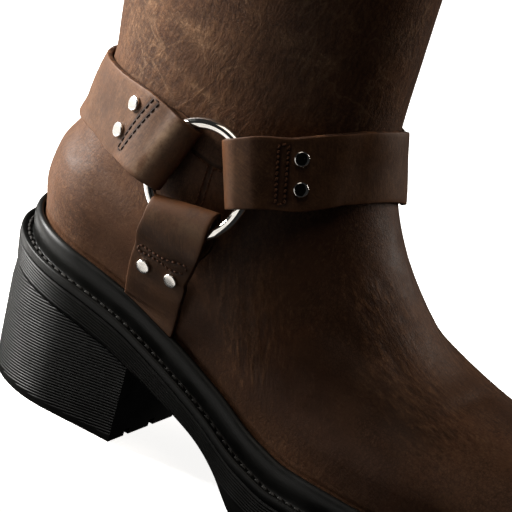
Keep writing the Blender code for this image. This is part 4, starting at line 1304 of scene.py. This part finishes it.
def make_outsole():
    """Outsole with fine side ribs, arch, toe spring and forefoot lugs."""
    theta = around_angles(360)
    plan = foot_plan(theta)
    ahead = plan_normal(theta)
    top_z = base_height(theta) - CLEARANCE
    foot_xy = plan + SOLE_FOOT_REACH * ahead
    bottom_z = smooth_through(TREAD_LINE, 1, foot_xy[:, 0])
    rows = []

    def row(reach, height):
        rows.append(np.concatenate([plan + reach * ahead, height[:, None]], -1))

    row(0.0, top_z)
    row(SOLE_TOP_REACH - 0.0012, top_z)
    row(SOLE_TOP_REACH - 0.0004, top_z - 0.0001)
    steps = 6
    for i in range(RIB_COUNT * steps + 1):
        drop = i * RIB_PITCH / steps
        share = np.clip(drop / (top_z - bottom_z), 0, 1)
        reach = SOLE_TOP_REACH + (SOLE_FOOT_REACH - SOLE_TOP_REACH) * share
        groove = max(0.0, math.cos(2 * math.pi * i / steps) - 0.2) / 0.8
        reach = reach - RIB_DEPTH * groove
        height = np.maximum(top_z - 0.0004 - drop, bottom_z + 0.0006)
        rows.append(np.concatenate([plan + reach[:, None] * ahead, height[:, None]], -1))
    row(SOLE_FOOT_REACH, np.minimum(rows[-1][:, 2] - 0.0001, bottom_z + 0.0005))
    row(SOLE_FOOT_REACH - 0.0002, bottom_z + 0.00015)
    row(SOLE_FOOT_REACH - 0.0006, bottom_z)
    mesh = capped_loops("outsole_rubber", np.stack(rows))
    thing = finish_object("outsole_rubber", mesh, SOLE_RUBBER)
    half = 0.5 * LUG_GROOVE
    boxes = []
    for i in range(LUG_COUNT):
        x = LUG_FIRST_X + i * LUG_PITCH
        floor = float(smooth_through(TREAD_LINE, 1, x))
        boxes.append((x - half, x + half, -0.08, 0.08, -PAST, floor + LUG_DEPTH))
    cut(thing, boxes)
    return settle(thing, "sole_rubber", "outsole")


def heel_outline(reach, count=150):
    """Plan of the heel from breast to breast round the back."""
    fine = np.linspace(0.5 * math.pi, 1.5 * math.pi, 1441)
    plan = foot_plan(fine) + np.asarray(reach) * plan_normal(fine)
    arc = plan[plan[:, 0] <= BREAST_X]
    run = run_along(arc)
    marks = np.linspace(0, run[-1], count)
    x = np.interp(marks, run, arc[:, 0])
    y = np.interp(marks, run, arc[:, 1])
    x[0] = BREAST_X
    x[-1] = BREAST_X
    return np.stack([x, y], -1)


def make_heel():
    """Heel block with fine slanted ribs round its side, a plain foot and a smooth breast."""
    top_z = TREAD_LINE[0][1]
    steps = 5
    pitch = RIB_PITCH
    count = int((top_z + PAST) / pitch)
    rows = []
    for i in range(-12 * steps, count * steps + 1):
        level = i * pitch / steps
        reach = HEEL_FOOT_REACH + (HEEL_TOP_REACH - HEEL_FOOT_REACH) * np.clip(level, 0, top_z) / top_z
        groove = max(0.0, math.cos(2 * math.pi * i / steps) - 0.1) / 0.9
        outline = heel_outline(reach)
        inner = heel_outline(reach - RIB_DEPTH * groove)
        height = level + HEEL_RIB_RISE * (outline[:, 0] - BREAST_X)
        top = smooth_through(TREAD_LINE, 1, outline[:, 0]) - CLEARANCE
        ribbed = ((height > HEEL_PLAIN_FOOT) & (height < top))[:, None]
        plan = np.where(ribbed, inner, outline)
        height = np.clip(height, 0.0, top)
        rows.append(np.concatenate([plan, height[:, None]], -1))
    thing = grid_object("heel_rubber", np.stack(rows), SOLE_RUBBER, caps=True)
    half = 0.5 * HEEL_LUG_GROOVE
    front = BREAST_X + PAST
    cut(thing, [(HEEL_LUG_BACK_X, front, y - half, y + half, -PAST, HEEL_LUG_DEPTH) for y in HEEL_LUG_PLACES])
    return settle(thing, "sole_rubber", "heel")


def strap_crest(kind):
    """Distance from the wire to the top of a strap's roll."""
    return 0.5 * STRAP_THICKNESS - STRAPS[kind][2] + STRAPS[kind][3]


def strap_height(kind, s):
    """Height of the middle of a strap's outer layer above the leather, past its roll."""
    tail = STRAPS[kind][4] + TAIL_STEP
    crest = strap_crest(kind)
    if kind == "back":
        ridge = BACK_RIDGE * np.exp(-((s - crest) / BACK_RIDGE_RUN) ** 2)
        low = LOOP_TOP - BACK_RIDGE
        return low + ridge - (low - UNDER) * ease((s - crest) / (BACK_SETTLED - crest))
    share = np.clip((s - crest) / (tail - crest), 0, 1)
    fall = share * share * (2 - share)
    last = np.clip((s - tail) / (TAIL_RUN - TAIL_STEP), 0, 1)
    single = last + last * last - last ** 3
    return LOOP_TOP - (LOOP_TOP - DOUBLED) * fall - (DOUBLED - UNDER) * single


def strap_stations(kind, far):
    """Stations along a strap: distance, height, outward parts, from the hidden tail to the far end."""
    reach, roll, tail = STRAPS[kind][2:5]
    nose = -reach + 0.5 * STRAP_THICKNESS
    path = []
    for s in np.linspace(tail, nose + TURN, 40)[:-1]:
        spare = max(0.0, float(strap_height(kind, s)) - DOUBLED)
        closing = float(ease((s - TURN) / (LOOP_CLOSED - TURN)))
        path.append((s, UNDER + spare * closing, 0.0, -1.0))
    for a in np.linspace(-0.5 * math.pi, 0.0, 13)[:-1]:
        inward = math.cos(a)
        upward = math.sin(a)
        path.append((nose + TURN * (1 - inward), UNDER + TURN + TURN * upward, -inward, upward))
    for a in np.linspace(0.0, 0.5 * math.pi, 22)[:-1]:
        rise = math.sin(a) ** (2 / ROLL_POWER)
        out = unit(np.array([-2 * math.cos(a) / roll, ROLL_POWER * rise ** (ROLL_POWER - 1) / TURN]))
        path.append((nose + roll * (1 - math.cos(a)), UNDER + TURN + TURN * rise, out[0], out[1]))
    spacing = STATION_FINE if far < STATION_LONG else STATION_COARSE
    steps = int((far - nose - roll) / spacing)
    step = 0.0001
    for s in np.linspace(nose + roll, far, steps):
        slope = float(strap_height(kind, s - step) - strap_height(kind, s + step)) / (2 * step)
        size = math.hypot(1, slope)
        path.append((s, float(strap_height(kind, s)), slope / size, 1 / size))
    return path


def strap_profile():
    """Rounded section of a strap: share of the flat half width, extra across, through its thickness."""
    half = 0.5 * STRAP_THICKNESS
    corner = STRAP_CORNER
    rows = []
    for sign, places in ((1, np.linspace(-1, 1, 21)), (-1, np.linspace(1, -1, 9))):
        for place in places:
            rows.append((place, 0.0, sign * half))
        for a in np.linspace(0, math.pi, 7)[1:-1]:
            angle = 0.5 * math.pi - a if sign > 0 else -0.5 * math.pi - a
            flat_part = max(0.0, half - corner)
            rise = corner * math.sin(angle) + (flat_part if math.sin(angle) > 0 else -flat_part)
            rows.append((sign, corner * math.cos(angle), rise))
    return np.array(rows)


PROFILE = strap_profile()


def strap_grid(kind, side, path):
    """Points of a strap over its path, with edge and stitch values."""
    run, width = COURSES[kind][0], COURSES[kind][5]
    s, h, out_s, out_h = (np.array(column)[:, None] for column in zip(*path))
    tail = STRAPS[kind][4]
    skive = np.where(out_h == -1.0, SKIVED + (1 - SKIVED) * ease((tail - s) / SKIVE_RUN), 1.0)
    h = h + 0.5 * STRAP_THICKNESS * (1 - skive)
    half = 0.5 * np.interp(RING_RADIUS + s, run, width)
    half = half - UNDER_INSET * np.where(out_h == -1.0, ease(s / TAIL_RUN), 0.0)
    place, extra, through = PROFILE.T[:, None]
    across = place * (half - STRAP_CORNER) + extra
    top = (through > 0) & (np.abs(place) < 1)
    line = np.zeros(across.shape)
    over = out_h > 0.5
    rows = STRAPS[kind][7]
    sewn = across - SEWN_UP[kind]
    box = half - STITCH_MARGIN
    for stitch in rows:
        groove = np.exp(-((s - stitch) / STITCH_SPREAD) ** 2)
        line = np.maximum(line, groove * over * (np.abs(sewn) < box))
    inside = (s > rows[0]) & (s < rows[1]) & over
    for sign in (-1, 1):
        groove = np.exp(-((sewn - sign * box) / STITCH_END_SPREAD) ** 2)
        line = np.maximum(line, groove * inside)
    line = line * top
    sunk = through * skive - STITCH_GROOVE * line
    points = strap_points(kind, side, s + sunk * out_s, across, h + sunk * out_h)
    # Edge value: burnished tint and painted shade at the cut edges.
    edge = np.exp(-np.maximum(half - np.abs(across), 0) / EDGE_SPREAD) + 0.0 * s
    crest = strap_crest(kind)
    # Painted highlight along the crest of the roll.
    roll = ROLL_HIGHLIGHT[kind] * np.exp(-((s - crest) / ROLL_HIGHLIGHT_SPREAD) ** 2) * over * top
    fold = np.exp(-((s - crest + STRAPS[kind][3]) / FOLD_SPREAD) ** 2) + 0.0 * across
    return points, {"edge": edge, "stitched": line, "roll": roll, "fold": fold}


def make_round_strap(kind):
    """Strap from ring to ring round the ankle."""
    middle = COURSES[kind][0][-1] - RING_RADIUS
    path = strap_stations(kind, middle)
    outer, outer_values = strap_grid(kind, -1, path)
    inner, inner_values = strap_grid(kind, 1, path[:-1])
    points = np.concatenate([outer, inner[::-1]])
    values = {key: np.concatenate([outer_values[key], inner_values[key][::-1]]) for key in outer_values}
    thing = grid_object("strap_%s_leather" % kind, points, STRAP_LEATHER, caps=True, values=values)
    return settle(thing, "strap_leather", "strap_" + kind)


def make_down_strap(side):
    """Strap from a ring down to the welt."""
    label = SIDE_NAMES[side]
    points, values = strap_grid("down", side, strap_stations("down", DOWN_LENGTH))
    thing = grid_object("strap_down_%s_leather" % label, points, STRAP_LEATHER, caps=True, values=values)
    return settle(thing, "strap_leather", "strap_down_" + label)


def strap_seat(kind, side, s, w, lift=0.0):
    """Points on the face of a strap, with its directions along, across and outward there."""
    step = 0.0003
    s = np.asarray(s, float)
    w = np.asarray(w, float)

    def face(ds, dw):
        height = strap_height(kind, s + ds) + 0.5 * STRAP_THICKNESS + lift
        return strap_points(kind, side, s + ds, w + dw, height)

    along = unit(face(step, 0.0) - face(-step, 0.0))
    across = unit(face(0.0, step) - face(0.0, -step))
    above = strap_points(kind, side, s, w, strap_height(kind, s) + STRAP_THICKNESS + lift) - face(0.0, 0.0)
    out = unit(np.cross(along, across))
    out = out * np.sign((out * above).sum(-1, keepdims=True))
    return face(0.0, 0.0), along, across, out


def make_strap_stitches(kind, side):
    """Sewn box across a strap end: a thin dark line on the back strap, heavier thread on the others."""
    run, width = COURSES[kind][0], COURSES[kind][5]
    rows = STRAPS[kind][7]
    pitch, length, thick, slant, material = STITCHES[kind]
    half = 0.5 * float(np.interp(RING_RADIUS + rows[0], run, width)) - STITCH_MARGIN
    aside = SEWN_UP[kind]
    count = round(2 * half / pitch)
    ends = max(1, round((rows[1] - rows[0]) / pitch))
    spots = []
    for s in rows:
        spots += [(s, w + aside, 0.0) for w in (np.arange(count) + 0.5) * 2 * half / count - half]
    for w in (-half, half):
        spots += [(rows[0] + (i + 0.5) * (rows[1] - rows[0]) / ends, w + aside, 1.0) for i in range(ends)]
    s, w, lengthwise = (np.array(column) for column in zip(*spots))
    places, along, across, out = strap_seat(kind, side, s, w, STITCH_LIFT)
    ahead = np.where(lengthwise[:, None] > 0, along, across)
    sideways = np.where(lengthwise[:, None] > 0, across, along)
    ahead = ahead * math.cos(slant) + sideways * math.sin(slant)
    name = "stitches_%s_%s" % (kind, SIDE_NAMES[side])
    return make_stitches(name, places, ahead, out, length, thick, STITCH_DIP, material, "strap_leather")


# Section of a rivet cap: radius and height in millimetres
RIVET_SECTION = ((2.45, -0.3), (2.55, 0.0), (2.62, 0.35), (2.62, 0.75), (2.54, 0.98), (2.36, 1.12),
                 (2.10, 1.18), (1.4, 1.21), (0.6, 1.22))


def make_rivet(kind, side, label, w):
    """Flat polished cap with a rounded rim."""
    foot, _, _, axis = strap_seat(kind, side, [STRAPS[kind][5]], [w], RIVET_SEAT)
    foot = foot[0]
    axis = axis[0]
    right = unit(np.cross(axis, np.array([0.0, 0.0, 1.0])))
    up = np.cross(axis, right)
    angle = np.arange(48) * 2 * math.pi / 48
    ring = right * np.cos(angle)[:, None] + up * np.sin(angle)[:, None]
    points = np.stack([foot + axis * z / 1000 + ring * r / 1000 for r, z in RIVET_SECTION])
    name = "rivet_%s_%s_%s" % (kind, SIDE_NAMES[side], label)
    material = STEEL if kind == "front" else RIVET_STEEL
    return settle(grid_object(name + "_cap", points, material, caps=True), "steel", name)


def make_ring(side):
    """Round-wire ring held in the three strap loops."""
    point, normal = RING_FRAMES[side]
    lift = CLEARANCE + STRAP_THICKNESS + LOOP_PLAY + WIRE_RADIUS + RING_LIFT
    centre = point + normal * lift + np.array(RING_HANG)
    right = np.array([1.0, 0.0, 0.0])
    up = np.cross(normal, right)
    a = (np.arange(144) * 2 * math.pi / 144)[:, None, None]
    b = (np.arange(28) * 2 * math.pi / 28)[None, :, None]
    out = right * np.cos(a) + up * np.sin(a)
    reach = RING_RADIUS + RING_SLACK + WIRE_RADIUS * np.cos(b)
    points = centre + out * reach + normal * WIRE_RADIUS * np.sin(b)
    label = "ring_" + SIDE_NAMES[side]
    return settle(grid_object(label + "_wire", points, STEEL, wrap_along=True), "steel", label)


def make_insole():
    """Footbed with a softened edge."""
    theta = around_angles(240)
    plan = foot_plan(theta)
    ahead = plan_normal(theta)
    base = base_height(theta)
    rows = []
    for inset, height in ((0.0, 0.0), (0.0, 0.0022), (0.0004, 0.0029), (0.0012, INSOLE_THICKNESS)):
        row = plan - (WALL + CLEARANCE + inset) * ahead
        rows.append(np.concatenate([row, (base + height)[:, None]], -1))
    mesh = capped_loops("footbed", np.stack(rows))
    return settle(finish_object("footbed", mesh, LINING, sharp=50), "footbed", "insole")


def stage_card(name, points, faces, shown, glow):
    """Card of the studio that only one kind of ray meets."""
    mesh = bpy.data.meshes.new(name)
    mesh.from_pydata(points, [], faces)
    mesh.materials.append(card_paint(name, glow))
    thing = bpy.data.objects.new(name, mesh)
    bpy.context.scene.collection.objects.link(thing)
    for ray in ("camera", "diffuse", "glossy", "transmission", "shadow"):
        setattr(thing, "visible_" + ray, ray == shown)


make_upper()
make_welt()
make_welt_stitches()
make_outsole()
make_heel()
make_insole()
for kind in ("front", "back"):
    make_round_strap(kind)
for side in (-1, 1):
    make_down_strap(side)
    make_ring(side)
    make_seam_stitches(side)
    for kind in STRAPS:
        make_strap_stitches(kind, side)
        up = SEWN_UP[kind]
        make_rivet(kind, side, "upper", up + 0.5 * STRAPS[kind][6])
        make_rivet(kind, side, "lower", up - 0.5 * STRAPS[kind][6])

# Camera: the photograph's angle to the boot, rolled as it is there
IMAGE = 512
AZIMUTH = math.radians(27.0)
ELEVATION = math.radians(24.0)
ROLL = math.radians(17.0)
DISTANCE = 1.300
FOCAL = 3770.0
SENSOR = 36.0
ANCHOR = np.array([0.062, -0.034, 0.0]) - ORIGIN
ANCHOR_PIXEL = (110.0, 441.0)

back = np.array([math.cos(ELEVATION) * math.sin(AZIMUTH), -math.cos(ELEVATION) * math.cos(AZIMUTH),
                 math.sin(ELEVATION)])
level_right = np.array([math.cos(AZIMUTH), math.sin(AZIMUTH), 0.0])
level_up = np.cross(back, level_right)
right = level_right * math.cos(ROLL) + level_up * math.sin(ROLL)
up = -level_right * math.sin(ROLL) + level_up * math.cos(ROLL)
eye = ANCHOR + back * DISTANCE
middle = IMAGE / 2
look = unit(-back * FOCAL + right * (middle - ANCHOR_PIXEL[0]) + up * (ANCHOR_PIXEL[1] - middle))
camera_up = unit(up - look * (up @ look))
camera_right = np.cross(look, camera_up)
camera = bpy.data.objects.new("camera", bpy.data.cameras.new("camera"))
camera.data.sensor_width = SENSOR
camera.data.lens = FOCAL * SENSOR / IMAGE
camera.data.clip_start = 0.05
camera.data.clip_end = 30.0
axes = Matrix((camera_right, camera_up, -look)).transposed()
camera.matrix_world = Matrix.Translation(Vector(eye)) @ axes.to_4x4()
bpy.context.scene.collection.objects.link(camera)
bpy.context.scene.camera = camera

# Studio: pale floor and soft lights
floor_mesh = bpy.data.meshes.new("floor")
floor_mesh.from_pydata([(-5, -5, 0), (5, -5, 0), (5, 5, 0), (-5, 5, 0)], [], [(0, 1, 2, 3)])
floor_mesh.materials.append(floor_paint())
floor = bpy.data.objects.new("floor", floor_mesh)
bpy.context.scene.collection.objects.link(floor)
floor.visible_diffuse = False
floor.visible_glossy = False

# White card beside the heel, seen only in reflections
CARD_PLAN = ((-0.34, 0.12), (-0.32, -0.20), (0.0, -0.30))
CARD_HEIGHT = 0.11
CARD_FOOT = ((-0.20, 0.02), (-0.16, -0.08), (-0.01, -0.080))
rows = [(x, y, CARD_HEIGHT) for x, y in CARD_PLAN] + [(x, y, 0.002) for x, y in CARD_PLAN]
rows += [(x, y, 0.002) for x, y in CARD_FOOT]
stage_card("card", rows, [(0, 1, 4, 3), (1, 2, 5, 4), (3, 4, 7, 6), (4, 5, 8, 7)], "glossy", 0.9)

# Dark flags that keep the side light off the forefoot
rows = [(-0.16, y, z) for z in (0.004, 0.17) for y in (-0.071, -0.40)]
stage_card("flag", rows, [(0, 1, 3, 2)], "shadow", 0.0)
rows = [(-0.034, y, z) for z in (0.004, 0.10) for y in (-0.052, -0.30)]
stage_card("low_flag", rows, [(0, 1, 3, 2)], "shadow", 0.0)

# Dark card before the forefoot, seen only in reflections
rows = [(x, -0.45, z) for z in (0.004, 0.50) for x in (0.02, 0.60)]
stage_card("dark_card", rows, [(0, 1, 3, 2)], "glossy", 0.0)

# Soft lights: name, place, size, power, colour
LIGHTS = (
    ("key", (-0.60, -0.135, 0.285), (0.26, 0.22), 11.6, (1.0, 0.98, 0.95)),
    ("top", (-0.20, -0.60, 1.50), (0.9, 0.9), 4.5, (1.0, 0.90, 0.78)),
    ("rim", (0.75, 1.10, 0.65), (0.6, 0.8), 12.0, (1.0, 0.93, 0.86)),
)
for name, place, size, power, colour in LIGHTS:
    lamp = bpy.data.lights.new(name, "AREA")
    lamp.shape = "RECTANGLE"
    lamp.size, lamp.size_y = size
    lamp.energy = power
    lamp.color = colour
    light = bpy.data.objects.new(name, lamp)
    light.location = place
    aim = Vector((0.0, 0.0, 0.10)) - Vector(place)
    light.rotation_euler = aim.to_track_quat("-Z", "Y").to_euler()
    bpy.context.scene.collection.objects.link(light)

world = bpy.data.worlds.new("studio")
world.use_nodes = True
world.node_tree.nodes["Background"].inputs["Color"].default_value = (1.0, 1.0, 1.0, 1.0)
world.node_tree.nodes["Background"].inputs["Strength"].default_value = 0.02
bpy.context.scene.world = world
bpy.context.scene.view_settings.view_transform = "Standard"
